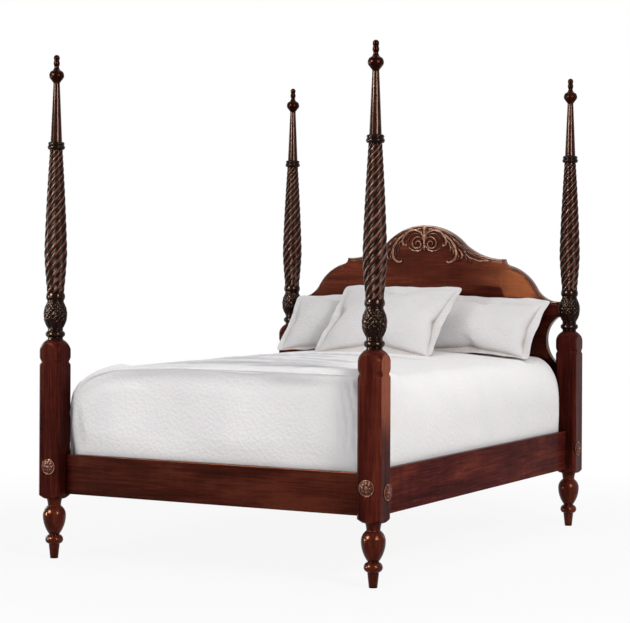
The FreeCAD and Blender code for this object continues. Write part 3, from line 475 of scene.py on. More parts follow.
# Each step of the turning: height and radius at its low end, the same at its high end, and where
# it runs upright.
LOWER_TURNING = [
    (0.000, 0.0340, 0.010, 0.0340, "straight"),
    (0.010, 0.0340, 0.024, 0.0435, "high"),
    (0.024, 0.0435, 0.038, 0.0340, "low"),
    (0.038, 0.0340, 0.050, 0.0340, "straight"),
    (0.050, 0.0340, 0.112, 0.0538, "high"),
    (0.112, 0.0538, 0.166, 0.0370, "low"),
    (0.166, 0.0370, 0.174, 0.0370, "straight"),
    (0.174, 0.0370, 0.189, 0.0425, "high"),
    (0.189, 0.0425, 0.206, 0.0385, "low"),
]
UPPER_TURNING = [
    (0.839, 0.0330, 0.850, 0.0388, "high"),
    (0.850, 0.0388, 0.859, 0.0340, "low"),
    (0.859, 0.0340, 0.866, 0.0365, "high"),
    (0.866, 0.0365, 0.874, 0.0300, "low"),
    (0.8741, 0.0255, 1.131, 0.0145, "straight"),
]
TURNING_STEP = 0.0016
# Radii to which the lower and upper shells close inside the twist.
LOWER_CORE = 0.020
UPPER_CORE = 0.018
STRANDS = 8
STRAND_COLUMNS = 20
TWIST_ROWS = 150
TWIST_SLOPE = math.radians(48)
SWELL_HEIGHT = 0.173
SWELL_POWER = 1.35
TWIST_LOW = 0.0375
TWIST_SWELL = 0.0508
TWIST_HIGH = 0.0285
STRAND_DEPTH = 0.0075
SCALE_DEPTH = 0.0060
SCALES = 12
SCALE_LEAN = 4.6
LEAVES = 9


def turned_rows(turning):
    """Heights and radii up the side of a turned piece."""
    heights, radii = [], []
    for z0, r0, z1, r1, upright in turning:
        count = max(2, int(round((z1 - z0) / TURNING_STEP)) + 1)
        here = np.linspace(z0, z1, count)
        if upright == "straight":
            radius = r0 + (r1 - r0) * (here - z0) / (z1 - z0)
        else:
            end_z, end_r, other_r = (z0, r0, r1) if upright == "low" else (z1, r1, r0)
            step = other_r - end_r
            bend = (step**2 + (z1 - z0) ** 2) / (2 * abs(step))
            radius = end_r + np.sign(step) * (bend - np.sqrt(bend**2 - (here - end_z) ** 2))
        heights.extend(here)
        radii.extend(radius)
    return np.array(heights), np.array(radii)


def off_centre(value):
    """How far a value is from the middle between two whole numbers, -0.5 to 0.5."""
    return value - np.floor(value) - 0.5


def bulb_relief(angle, share):
    """Carving on the bulb, 0 in a valley to 1 on a crest: leaves below pineapple scales."""
    lean = share * SCALE_LEAN
    p = off_centre(SCALES * angle / FULL_TURN + lean)
    q = off_centre(SCALES * angle / FULL_TURN - lean)
    edge = 2 * np.maximum(np.abs(p), np.abs(q))
    scales = np.sqrt(np.clip(1 - edge**2.2, 0, 1)) * (0.78 + 0.3 * (p - q))
    across = np.abs(off_centre(LEAVES * angle / FULL_TURN + 0.25)) * 2
    tip = 0.46 * (1 - across**1.7)
    notch = 0.5 + 0.5 * np.cos(across * 3 * FULL_TURN)
    leaves = (1 - across**2) * (0.72 + 0.28 * notch) - 0.5 * bell(across, 0.10)
    leaves = np.clip(leaves, 0, 1)
    inside = smooth_step(-0.02, 0.05, tip - share)
    rim = bell(tip - share, 0.035)
    return np.clip(scales * (1 - inside) + leaves * inside - 0.6 * rim * (1 - inside), 0, 1)


def round_over(value, middle, reach):
    """A half circle over a middle, 1 high."""
    return np.sqrt(np.clip(1 - ((value - middle) / reach) ** 2, 0, 1))


def strand_relief(phase):
    """Across one strand of the rope twist: a round rope and a thin fillet beside it."""
    phase = phase - np.floor(phase)
    return np.maximum(round_over(phase, 0.38, 0.38), 0.50 * round_over(phase, 0.88, 0.115))


def twist_radius(height):
    """The twist swells to its widest near its foot and thins towards its top."""
    down = np.clip((SWELL_HEIGHT - height) / SWELL_HEIGHT, 0, 1)
    low = TWIST_LOW + (TWIST_SWELL - TWIST_LOW) * (1 - down**SWELL_POWER)
    length = TWIST_TOP - TWIST_BASE
    up = np.clip((height - SWELL_HEIGHT) / (length - SWELL_HEIGHT), 0, 1)
    high = TWIST_HIGH + (TWIST_SWELL - TWIST_HIGH) * (1 - up**SWELL_POWER)
    return np.where(height < SWELL_HEIGHT, low, high)


# Each shell of a shaft is a grid of heights, radii, angles and relief.

def lower_shell():
    """Rings and the carved bulb."""
    heights, radii = turned_rows(LOWER_TURNING)
    heights = np.append(heights, TWIST_BASE)
    radii = np.append(radii, LOWER_CORE)[:, None]
    turn, height = np.meshgrid(np.linspace(0, FULL_TURN, 150, endpoint=False), heights)
    share = (height - BULB_BASE) / (BULB_TOP - BULB_BASE)
    on_bulb = smooth_step(0.0, 0.10, share) * smooth_step(1.0, 0.92, share)
    carved = bulb_relief(turn, share)
    radius = radii - SCALE_DEPTH * on_bulb * (1 - carved)
    # Off the bulb the relief grows with the radius: the narrow necks take the painted shade of a
    # valley, and the rings a lighter colour.
    relief = np.where(on_bulb > 0, carved, 0.25 + 0.5 * smooth_step(0.034, 0.043, radii))
    return height, radius, turn, relief


def twist_shell():
    """The rope twist."""
    heights = np.linspace(0, TWIST_TOP - TWIST_BASE, TWIST_ROWS)
    radii = twist_radius(heights)
    middle_radii = 0.5 * (radii[1:] + radii[:-1])
    steps = np.diff(heights) / (math.tan(TWIST_SLOPE) * middle_radii)
    turned = np.concatenate([[0], np.cumsum(steps)])
    columns = STRANDS * STRAND_COLUMNS
    phase = np.arange(columns) / STRAND_COLUMNS
    relief = np.repeat(strand_relief(phase)[None, :], len(heights), 0)
    turn = turned[:, None] + FULL_TURN * phase[None, :] / STRANDS
    depth = STRAND_DEPTH * (radii / TWIST_SWELL)[:, None]
    radius = radii[:, None] - depth * (1 - relief)
    height = np.repeat(TWIST_BASE + heights[:, None], columns, 1)
    return height, radius, turn, relief


def upper_shell():
    """The collar and the taper."""
    heights, radii = turned_rows(UPPER_TURNING)
    heights = np.concatenate([[TWIST_TOP], heights])
    radii = np.concatenate([[UPPER_CORE], radii])
    turn, height = np.meshgrid(np.linspace(0, FULL_TURN, 72, endpoint=False), heights)
    radius = np.repeat(radii[:, None], turn.shape[1], 1)
    return height, radius, turn, np.where(height < TAPER_BASE, 0.45, 0.86)


def carve_shaft(corner, side, end, shells):
    points, faces, reliefs = [], [], []
    start = 0
    for height, radius, turn, relief in shells:
        x = side * POST_X + radius * np.cos(turn)
        y = end * POST_Y + radius * np.sin(turn)
        points.append(np.stack([x, y, BLOCK_TOP + height], -1).reshape(-1, 3))
        faces += grid_faces(*height.shape, wrap=True, start=start)
        reliefs.append(relief.ravel())
        start += height.size
    name = f"carved_shaft_{corner}"
    piece = make_piece(name, np.vstack(points), faces, carved_upright, "frame")
    paint(piece, "relief", np.concatenate(reliefs))
    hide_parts(f"post_shaft_{corner}")


shaft_shells = [lower_shell(), twist_shell(), upper_shell()]
for corner, (side, end) in CORNERS.items():
    carve_shaft(corner, side, end, shaft_shells)


# Carved rosettes over the bed bolts

ROSETTE_RADIUS = 0.0345
# The pattern is drawn at this radius.
PATTERN_RADIUS = 0.032
BUTTON_RADIUS = 0.0092
PIN_RISE = 0.0215
PIN_SEAT = 0.0045
# Places on the end and the side of a post block at the back right corner.
END_PLACE = (0.785, 1.1315, 0.408)
SIDE_PLACE = (0.844, 1.0595, 0.388)


def rosette_height(radius, angle):
    """Height above the rosette's back and its relief share."""
    from_pin = np.hypot(radius * np.cos(angle), radius * np.sin(angle) - PIN_RISE)
    radius = radius * PATTERN_RADIUS / ROSETTE_RADIUS
    petal = np.abs(np.cos(4 * angle)) ** 0.55
    spread = np.clip((radius - 0.007) / 0.0205, 0, 1)
    body = np.sin(math.pi * spread**0.75)
    vein = bell(np.sin(4 * angle), 0.22) * smooth_step(0.1, 0.5, spread)
    height = 0.0022 + 0.0058 * body * petal - 0.0011 * body * vein
    rim = smooth_step(0.0268, 0.0282, radius)
    rim_round = np.sin(math.pi * np.clip((radius - 0.0275) / 0.0045, 0, 1))
    height = height * (1 - rim) + rim * (0.0030 + 0.0010 * rim_round)
    button = round_over(radius, 0, BUTTON_RADIUS)
    grooves = 0.0007 * np.cos(10 * angle) * smooth_step(0.002, 0.007, radius)
    raised = 0.0024 + 0.0076 * button + grooves * button
    height = np.where(radius < BUTTON_RADIUS, raised, height)
    seat = smooth_step(0.0062, 0.0045, from_pin)
    height = height * (1 - seat) + np.minimum(height, PIN_SEAT) * seat
    relief = np.clip(height / 0.0085, 0, 1)
    # The rim is given nearly full relief, so it takes the crest's painted highlight.
    return height, np.maximum(relief, 0.94 * smooth_step(0.0272, 0.0284, radius))


def carve_rosette(name, centre, across, facing):
    radii = np.linspace(0.0004, ROSETTE_RADIUS, 46)
    angle = np.linspace(0, FULL_TURN, 128, endpoint=False)
    turn, radius = np.meshgrid(angle, radii)
    height, relief = rosette_height(radius, turn)
    # Two more rows make the side and the back.
    edge = np.full((1, len(angle)), ROSETTE_RADIUS)
    radius = np.vstack([radius, edge, edge * 0.05])
    turn = np.vstack([turn, turn[:2]])
    height = np.vstack([height, np.zeros((2, len(angle)))])
    relief = np.vstack([relief, np.full((2, len(angle)), 0.3)])
    across, facing = np.array(across, float), np.array(facing, float)
    upward = np.array((0.0, 0.0, 1.0))
    points = (
        centre + (radius * np.cos(turn))[..., None] * across
        + (radius * np.sin(turn))[..., None] * upward + height[..., None] * facing
    ).reshape(-1, 3)
    faces = grid_faces(*radius.shape, wrap=True)
    if np.dot(np.cross(across, upward), facing) > 0:
        faces = [face[::-1] for face in faces]
    faces.append(tuple(range(len(angle))))
    piece = make_piece(
        f"carved_{name}", points, faces, carved_flower, name,
    )
    paint(piece, "relief", relief)
    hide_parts(name)


for corner, (side, end) in CORNERS.items():
    flip = np.array((side, end, 1))
    carve_rosette(f"rosette_{corner}_end", flip * END_PLACE, (1, 0, 0), (0, end, 0))
    carve_rosette(f"rosette_{corner}_side", flip * SIDE_PLACE, (0, 1, 0), (side, 0, 0))


# Carving and edge beads of the headboard

BOARD_FACE = 1.0625
# Right-hand strokes of the carving, in millimetres: places on the board, width, height, and
# whether a vein runs along it.
STROKES = [
    ([(10, 1420), (11, 1444), (28, 1462), (57, 1470), (89, 1462), (112, 1440), (124, 1414),
      (119, 1393), (107, 1391), (104, 1402)], 12.5, 11, True),
    ([(16, 1428), (34, 1435), (54, 1428), (67, 1409), (64, 1388), (48, 1376), (28, 1379),
      (19, 1396), (28, 1411), (43, 1410), (48, 1399), (40, 1393)], 9.5, 12, False),
    ([(24, 1446), (46, 1452), (70, 1445), (86, 1428), (90, 1408)], 7.5, 8, False),
    ([(118, 1446), (150, 1418), (172, 1386), (181, 1354), (175, 1326), (158, 1309),
      (138, 1304), (128, 1312)], 15.5, 12, True),
    ([(140, 1410), (158, 1382), (166, 1356), (162, 1332)], 8, 8, False),
    ([(128, 1418), (142, 1394), (149, 1370), (146, 1350)], 8.5, 7, False),
    ([(192, 1374), (209, 1356), (214, 1335), (203, 1316)], 12.5, 10, False),
    ([(186, 1352), (194, 1334), (188, 1314)], 8.5, 8, False),
    ([(216, 1366), (246, 1338), (280, 1321), (318, 1313), (376, 1313)], 8.5, 8, True),
    ([(222, 1348), (238, 1328), (236, 1308)], 9, 8, False),
    ([(246, 1334), (262, 1316), (262, 1300)], 7.5, 7, False),
    ([(84, 1449), (100, 1438), (106, 1422)], 8, 7, False),
    ([(128, 1455), (150, 1440), (168, 1418)], 8, 7, False),
    ([(160, 1424), (184, 1404), (198, 1382)], 8, 7, False),
    ([(190, 1400), (216, 1378), (236, 1354)], 8, 7, False),
    ([(18, 1480), (32, 1472), (48, 1478)], 8, 7, False),
    ([(6, 1474), (16, 1460), (18, 1444)], 8.5, 8, False),
    ([(4, 1392), (12, 1380), (24, 1367), (44, 1362), (72, 1368), (94, 1384)], 8, 8, True),
    ([(54, 1481), (100, 1468), (142, 1444), (180, 1415), (216, 1388), (256, 1361),
      (304, 1340)], 7.5, 7, False),
    ([(70, 1467), (104, 1453), (140, 1430)], 6.5, 6, False),
    ([(200, 1392), (236, 1364), (280, 1341), (330, 1329)], 7, 6, False),
]
CENTRE_STROKES = [
    ([(0, 1482), (0, 1455), (0, 1430), (0, 1400), (0, 1366)], 13, 13, True),
    ([(0, 1484), (0, 1472)], 18, 10, False),
    ([(0, 1440), (0, 1426)], 20, 10, False),
]
VEIN_WIDTH = 0.0016
# Beads on the board's face along its edge: name, way in from the edge, and radius.
BEADS = [("edge_bead", 0.0052, 0.0050), ("edge_fillet", 0.0145, 0.0026)]


def stroke_height(x, z, places, width, height, vein):
    """Height of one carved stroke over a grid of board places."""
    width, height = width / 1000, height / 1000
    line = curve_through(np.array(places) / 1000, 70)
    share = np.linspace(0, 1, len(line))
    fullness = np.sin(math.pi * np.clip(share * 0.86 + 0.10, 0, 1)) ** 0.7
    half = 0.5 * width * (0.35 + 0.65 * fullness)
    if vein:
        half = half * (1 + 0.22 * np.abs(np.sin(share * math.pi * 6)))
    gaps = [np.hypot(x - px, z - pz) for px, pz in line]
    best = np.zeros_like(x)
    for gap, reach in zip(gaps, half):
        rise = height * round_over(gap, 0, reach) * min(1.0, reach / (0.4 * width))
        best = np.maximum(best, rise)
    if vein:
        best = best * (1 - 0.42 * bell(np.min(gaps[4:-4], axis=0), VEIN_WIDTH))
    return best


def carve_crest():
    """One carved surface on the face of the board, mirrored about its middle."""
    x, z = np.meshgrid(np.linspace(0, 0.384, 257), np.linspace(1.290, 1.490, 135))
    height = np.zeros_like(x)
    for stroke in STROKES + CENTRE_STROKES:
        height = np.maximum(height, stroke_height(x, z, *stroke))
    x = np.hstack([-x[:, :0:-1], x])
    z = np.hstack([z[:, :0:-1], z])
    height = np.hstack([height[:, :0:-1], height])
    raised = height > 0.0004
    y = BOARD_FACE + np.where(raised, -height, 0.0015)
    points = np.stack([x, y, z], -1).reshape(-1, 3)
    # Only the raised places and those next to them are kept.
    kept = raised.copy()
    for step in ((0, 1), (0, -1), (1, 0), (-1, 0)):
        kept |= np.roll(raised, step, (0, 1))
    used = kept.ravel()
    number = np.cumsum(used) - 1
    faces = [
        tuple(int(number[k]) for k in face)
        for face in grid_faces(*x.shape) if all(used[k] for k in face)
    ]
    piece = make_piece(
        "carved_crest", points[used], faces, carved_cross, "frame",
    )
    paint(piece, "relief", np.clip(height.ravel()[used] / 0.0095, 0, 1))
    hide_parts("crest_carving")


carve_crest()


def sweep(centre, radius, start, end, count):
    """The shorter arc about a centre from start to end."""
    first, last = (math.atan2(z, x) for x, z in (start - centre, end - centre))
    across = (last - first + math.pi) % FULL_TURN
    turn = np.linspace(first, first + across - math.pi, count)
    return centre + radius * np.stack([np.cos(turn), np.sin(turn)], -1)


def arc_points(start, end, flat_at, count):
    """An arc from start to end that runs level at one of its ends."""
    start, end = np.array(start, float), np.array(end, float)
    level, other = (start, end) if flat_at == "start" else (end, start)
    step = other - level
    bend = (step @ step) / (2 * step[1])
    return sweep(level + np.array((0.0, bend)), abs(bend), start, end, count)


def chord_arc(start, end, bend, count):
    """A convex arc of that radius over the line from start to end, for a falling edge."""
    start, end = np.array(start, float), np.array(end, float)
    step = end - start
    reach = np.linalg.norm(step)
    inward = np.array((step[1], -step[0])) / reach
    centre = 0.5 * (start + end) + inward * math.sqrt(bend**2 - 0.25 * reach**2)
    return sweep(centre, bend, start, end, count)


def crest_outline():
    """The two parts of the board's top edge, from its middle to its right end."""
    return [
        np.vstack([
            arc_points((0, 1.494), (0.226, 1.395), "start", 60),
            arc_points((0.226, 1.395), (0.430, 1.323), "end", 50)[1:],
            [(0.444, 1.323)],
        ]),
        np.vstack([
            chord_arc((0.474, 1.289), (0.620, 1.170), 0.239, 40),
            arc_points((0.620, 1.170), (0.730, 1.113), "end", 30)[1:],
        ]),
    ]


def bead_along(edge, inset, radius, name):
    """A half-round bead on the face of the board, a set way in from its edge."""
    ahead = unit(np.gradient(edge, axis=0))
    inward = np.stack([ahead[:, 1], -ahead[:, 0]], -1)
    middle = edge + inset * inward
    turn = np.linspace(0, math.pi, 9)
    shape = (len(edge), len(turn))
    flat = middle[:, None, :] + radius * np.cos(turn)[None, :, None] * inward[:, None, :]
    rise = np.broadcast_to(0.85 * radius * np.sin(turn), shape)
    y = BOARD_FACE + 0.0006 - rise
    points = np.stack([flat[..., 0], y, flat[..., 1]], -1).reshape(-1, 3)
    faces = grid_faces(*shape) + end_caps(*shape)
    piece = make_piece(name, points, faces, carved_cross, "frame")
    # The bead's crown takes a high relief and its sides a low one: a painted highlight along its
    # top and painted shade at its sides.
    paint(piece, "relief", np.broadcast_to(0.25 + 0.6 * np.sin(turn), shape))


for number, edge in enumerate(crest_outline(), 1):
    mirrored = edge[::-1] * MIRROR_X
    lines = [("right", edge), ("left", mirrored)]
    if number == 1:
        lines = [("top", np.vstack([mirrored[:-1], edge]))]
    for word, line in lines:
        for name, inset, radius in BEADS:
            bead_along(line, inset, radius, f"{name}_{number}_{word}")


# Coverlet

HALF_WIDTH = 0.7673
FOOT = -1.0418
HEAD = 0.9954
HEM = 0.436
BED_TOP = 0.8666
LOWEST_EDGE = 0.600
CROWN_POWER = 2.2
SHOULDER_REACH = 0.130
SHOULDER_DROP = 0.032
SIDE_TOP = 0.635
FOOT_REACH = 0.022
FOOT_TOP = 0.862
# Towards the foot the right shoulder is tighter and less deep by these, and the right side of
# the top is higher by this.
FOOT_TIGHTER = 0.075
FOOT_LESS_DROP = 0.026
FOOT_LIFT = 0.040
# The left foot corner falls away in a long round: where it starts, its low end, its reach and
# how square it is.
ROUND_X = -0.26
ROUND_Z = 0.640
ROUND_REACH = 0.468
ROUND_POWER = 2.4
CORNER = 0.095
PLAN_STEP = 0.010
WALL_ROWS = 26
# The lowest rows, behind the rails, stay as they are laid.
HELD_ROWS = 10
# Rows are closer together over this way in from the edge.
EDGE_BAND = 0.16
RAIL_TOP = 0.474
RISE_LIMITS = (-0.019, 0.015)
PLEAT_WIDTH = 0.036
WELT_RADIUS = 0.0048
# Cross folds on top of the bed: their place along it, the middle and half length across it,
# their height and how much they swing.
FOLDS = [
    (-0.930, 0.30, 0.34, 0.010, 0.6), (-0.790, -0.10, 0.42, 0.012, 1.3),
    (-0.600, 0.22, 0.30, 0.011, 2.2), (-0.420, -0.05, 0.46, 0.013, 3.1),
    (-0.230, 0.12, 0.24, 0.010, 4.4), (-0.010, -0.18, 0.40, 0.012, 5.2),
    (0.150, 0.05, 0.50, 0.010, 0.1),
]


def quarter(share):
    """Fall of a round shoulder from 0 where it is level to 1 where it is upright."""
    return 1 - np.sqrt(np.clip(1 - np.clip(share, 0, 1) ** 2, 0, 1))


def foot_step(low, high, y):
    """Eases from 0 to 1 between two distances from the foot."""
    return smooth_step(FOOT + low, FOOT + high, y)


def cloth_height(x, y):
    """Height of the made bed above each place of its plan."""
    near_foot = np.where(x > 0, foot_step(0.55, 0.10, y), 0)
    reach = SHOULDER_REACH - FOOT_TIGHTER * near_foot
    drop = SHOULDER_DROP - FOOT_LESS_DROP * near_foot
    inner = HALF_WIDTH - reach
    crown = drop * np.clip(np.abs(x) / inner, 0, 1) ** CROWN_POWER
    side = (BED_TOP - drop - SIDE_TOP) * quarter((np.abs(x) - inner) / reach)
    lift = FOOT_LIFT * np.clip((x + 0.25) / 0.95, 0, 1) * foot_step(0.42, 0.06, y)
    level = BED_TOP + lift - crown - side
    share = np.clip((ROUND_X - x) / ROUND_REACH, 0, 1)
    fall = (1 - share**ROUND_POWER) ** (1 / ROUND_POWER)
    rounded = ROUND_Z + (BED_TOP - ROUND_Z) * fall
    level = level + foot_step(0.30, 0.02, y) * (np.minimum(level, rounded) - level)
    foot = (BED_TOP - FOOT_TOP) * quarter((FOOT + FOOT_REACH - y) / FOOT_REACH)
    return np.maximum(level - foot, LOWEST_EDGE)


def plan_line():
    """The plan of the bed from the left head corner round the foot to the right head corner."""
    x0, y0 = -HALF_WIDTH + CORNER, FOOT + CORNER
    left = [(-HALF_WIDTH, y) for y in np.arange(HEAD, y0, -PLAN_STEP)]
    turn = np.linspace(math.pi, 1.5 * math.pi, 14)
    corner = [(x0 + CORNER * math.cos(a), y0 + CORNER * math.sin(a)) for a in turn]
    foot = [(x, FOOT) for x in np.arange(x0 + PLAN_STEP, 0, PLAN_STEP)]
    half = np.array(left + corner + foot)
    return np.vstack([half, [(0.0, FOOT)], half[::-1] * MIRROR_X])


def lay_coverlet():
    """A grid of points up the walls from the hem, then over the top to its middle line."""
    plan = plan_line()
    spine_y = np.clip(plan[:, 1], FOOT + HALF_WIDTH, HEAD)
    inward = np.stack([np.zeros(len(plan)), spine_y], -1) - plan
    reach = np.linalg.norm(inward, axis=1)[:, None]
    inward = inward / reach
    edge_height = cloth_height(*plan.T)
    rows = [
        np.column_stack([plan, HEM + (edge_height - HEM) * share])
        for share in np.linspace(0, 1, WALL_ROWS)
    ]
    near = EDGE_BAND * (1 - np.cos(np.linspace(0, math.pi / 2, 24)[1:]))
    far = [EDGE_BAND + (reach - EDGE_BAND) * share for share in np.linspace(0, 1, 82)[1:]]
    for depth in [*near, *far]:
        place = plan + inward * depth
        rows.append(np.column_stack([place, cloth_height(*place.T)]))
    return np.array(rows)


def relax(grid):
    """Evens out the points, apart from the lowest rows and the grid's other edges."""
    eased = grid.copy()
    eased[HELD_ROWS:-1, 1:-1] = 0.25 * (
        grid[HELD_ROWS - 1:-2, 1:-1] + grid[HELD_ROWS + 1:, 1:-1]
        + grid[HELD_ROWS:-1, :-2] + grid[HELD_ROWS:-1, 2:]
    )
    return eased


def grid_normals(grid):
    return unit(np.cross(np.gradient(grid, axis=1), np.gradient(grid, axis=0)))


def cross_folds(x, y):
    """Rise and shade of the folds on top of the bed."""
    rise, shade = np.zeros(x.shape), np.zeros(x.shape)
    for place, middle, reach, height, swing in FOLDS:
        bend = 0.030 * np.sin(2.6 * x + swing) + 0.014 * np.sin(7.7 * x + 2 * swing)
        past = y - place - bend
        fold = smooth_step(-0.006, 0.010, past) * np.exp(-np.clip(past, 0, None) / 0.055)
        groove = bell(past + 0.008, 0.008)
        strength = smooth_step(reach, 0.35 * reach, np.abs(x - middle))
        rise += strength * (height * fold - 0.35 * height * groove)
        front = smooth_step(-0.010, -0.002, past) * smooth_step(0.012, 0.004, past)
        shade = np.maximum(shade, strength * front)
    return rise, shade


def sculpt_coverlet(grid):
    """The grid with waves, a roll at the foot, folds and pleats, and the shade of its creases."""
    shape = grid.shape[:2]
    flat = grid.reshape(-1, 3)
    x, y, z = grid[..., 0], grid[..., 1], grid[..., 2]
    panel = foot_step(0.07, 0.015, y)
    rise = (0.0030 * waves(flat, 0.42, 11) + 0.0008 * waves(flat, 0.10, 12)).reshape(shape)
    swell = waves(flat * np.array((1, 0, 1)), 0.32, 5).reshape(shape)
    below = cloth_height(x, np.full_like(y, FOOT + FOOT_REACH)) - z
    edge = np.minimum(below, np.where(x < 0, x + HALF_WIDTH - 0.03, 1.0))
    roll = 0.007 * bell(edge - 0.012, 0.016) - 0.015 * bell(edge - 0.058, 0.028)
    rise = rise + panel * 0.018 * swell + panel * roll
    on_top = smooth_step(0.80, 0.85, z) * foot_step(0.02, 0.06, y)
    folds, shade = cross_folds(x, y)
    pleats = smooth_step(0.58, 0.69, x) * panel
    pleats = pleats * smooth_step(0.01, 0.06, below) * smooth_step(0.46, 0.70, z)
    wave = np.sin(x * FULL_TURN / PLEAT_WIDTH + 9 * z + 1.6 * np.sin(17 * z))
    rise = rise + on_top * folds + pleats * 0.006 * wave
    # Painted shade on the foot-facing fronts of the folds, in the pleat valleys and in a band
    # under the foot roll.
    crease_shade = np.max([
        0.75 * on_top * shade,
        0.4 * pleats * smooth_step(0.2, 0.9, -wave),
        0.15 * panel * bell(edge - 0.040, 0.020),
    ], axis=0)
    clear = smooth_step(RAIL_TOP - 0.01, RAIL_TOP + 0.10, z)
    rise = np.clip(rise, *RISE_LIMITS) * clear
    return grid + grid_normals(grid) * rise[..., None], crease_shade


def sew_welt(grid):
    """A corded seam up the left foot corner, along the foot panel and down the right corner."""
    plan = grid[0, :, :2]
    corner = np.array((-HALF_WIDTH + 0.29 * CORNER, FOOT + 0.29 * CORNER))
    first = int(np.argmin(np.linalg.norm(plan - corner, axis=1)))
    last = int(np.argmin(np.linalg.norm(plan - corner * MIRROR_X, axis=1)))
    edge = WALL_ROWS - 1

    def on_seam(values):
        return np.vstack([
            values[4:edge - 1, first], values[edge, first + 3:last - 2],
            values[edge - 2:3:-1, last],
        ])

    line = on_seam(grid) + 0.0015 * on_seam(grid_normals(grid))
    for _ in range(14):
        line[1:-1] = 0.5 * line[1:-1] + 0.25 * (line[:-2] + line[2:])
    cord("coverlet_welt", line, WELT_RADIUS, coverlet_cloth)


def make_coverlet():
    grid, crease_shade = sculpt_coverlet(relax(lay_coverlet()))
    faces = [face[::-1] for face in grid_faces(*grid.shape[:2])]
    piece = make_piece(
        "coverlet_cloth", grid.reshape(-1, 3), faces, coverlet_cloth, "frame",
    )
    paint(piece, "crease_shade", crease_shade)
    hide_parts("coverlet")
    sew_welt(grid)


make_coverlet()


# Box spring and mattress

BLOCK_CUTS = 56
PIPING_RADIUS = 0.0035
PIPING_STEP = 0.02
SPRING_INSET = 0.006
SPRING_EDGE = 0.022
SPRING_BULGE = 0.002
MATTRESS_EDGE = 0.012
MATTRESS_GAP = np.array((0.014, 0.016, 0.0))


def block_points(low, high, radius, bulge):
    """A subdivided box with rounded edges and slightly full sides."""
    share = 0.5 - 0.5 * np.cos(np.linspace(0, math.pi, BLOCK_CUTS + 1))
    count = len(share)
    b, a = np.meshgrid(share, share, indexing="ij")
    points, faces = [], []
    for axis in range(3):
        for at_high in (0, 1):
            side = np.zeros((count, count, 3))
            side[..., axis] = at_high
            side[..., (axis + 1) % 3] = a
            side[..., (axis + 2) % 3] = b
            quads = grid_faces(count, count, start=len(points) * count * count)
            faces += quads if at_high else [face[::-1] for face in quads]
            points.append((low + side * (high - low)).reshape(-1, 3))
    points = np.vstack(points)
    core = np.clip(points, low + radius, high - radius)
    away = points - core
    length = np.linalg.norm(away, axis=1)[:, None]
    points = core + radius * away / np.maximum(length, 1e-9)
    middle = 0.5 * (low + high)
    spread = 1 - np.clip(np.abs(points - middle) / (0.5 * (high - low)), 0, 1) ** 2
    full = np.stack([spread[:, (k + 1) % 3] * spread[:, (k + 2) % 3] for k in range(3)], -1)
    on_side = np.abs(away) > 0.5 * radius
    return points + np.sign(points - middle) * bulge * full * on_side, faces


def cover_block(node, points, faces, fill):
    """The ticking of a padded node, with the edges of its sides joined."""
    piece = make_piece(f"{node}_ticking", points, faces, ticking, "frame")
    work = bmesh.new()
    work.from_mesh(piece.data)
    bmesh.ops.remove_doubles(work, verts=work.verts, dist=1e-6)
    work.to_mesh(piece.data)
    work.free()
    piece.data.shade_smooth()
    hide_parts(node)


def sew_piping(name, low, high, radius, z):
    """A level cord round a box with rounded corners."""
    line = []
    for x, y, first in (
        (high[0] - radius, high[1] - radius, 0), (low[0] + radius, high[1] - radius, 90),
        (low[0] + radius, low[1] + radius, 180), (high[0] - radius, low[1] + radius, 270),
    ):
        for degrees in np.linspace(first, first + 90, 9):
            turn = math.radians(degrees)
            line.append((x + radius * math.cos(turn), y + radius * math.sin(turn), z))
    spaced = []
    for a, b in zip(np.array(line), np.roll(line, -1, 0)):
        count = max(2, int(np.linalg.norm(b - a) / PIPING_STEP))
        spaced.append(np.linspace(a, b, count, endpoint=False))
    cord(name, np.vstack(spaced), PIPING_RADIUS, ticking, closed=True)


def fill_box_spring():
    """The box spring: a rounded block with piping along its upper and lower edges."""
    low, high = (np.array(corner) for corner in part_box("box_spring"))
    low = low + np.array((SPRING_INSET, SPRING_INSET, 0.0005))
    high = high - SPRING_INSET
    cover_block("box_spring", *block_points(low, high, SPRING_EDGE, SPRING_BULGE), 0.9)
    for word, z in (("low", low[2] + SPRING_EDGE), ("high", high[2] - SPRING_EDGE)):
        sew_piping(f"box_spring_piping_{word}", low, high, SPRING_EDGE, z)


def fill_mattress():
    """The mattress: a rounded block whose top follows the made bed just under the coverlet."""
    low, high = (np.array(corner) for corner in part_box("mattress"))
    low, high = low + MATTRESS_GAP, high - MATTRESS_GAP
    points, faces = block_points(low, high, MATTRESS_EDGE, 0.0)
    core = np.clip(points[:, :2], low[:2] + CORNER, high[:2] - CORNER)
    away = points[:, :2] - core
    length = np.maximum(np.hypot(away[:, 0], away[:, 1]), 1e-9)
    square = np.max(np.abs(away), axis=1)
    points[:, :2] = core + away * np.minimum(1, square / length)[:, None]
    sunk = 0.030 + 0.020 * foot_step(0.20, 0, points[:, 1])
    limit = np.minimum(high[2], cloth_height(points[:, 0], points[:, 1]) - sunk)
    points[:, 2] = low[2] + (points[:, 2] - low[2]) * (limit - low[2]) / (high[2] - low[2])
    cover_block("mattress", points, faces, 0.85)
    sew_piping("mattress_piping", low, high, CORNER, low[2] + 0.016)


fill_box_spring()
fill_mattress()


# Pillows

PILLOW_WIDTH = 0.660
PILLOW_THICK = 0.176
PILLOW_CELL = 0.011
# The flat bag is larger than the filled one by these.
BAG_SLACK = (1.05, 1.07)
LENS_SHARE = 0.65
LENS_POWER = 0.72
# The middles of the sides are drawn in by this.
SIDE_DRAW = 0.016
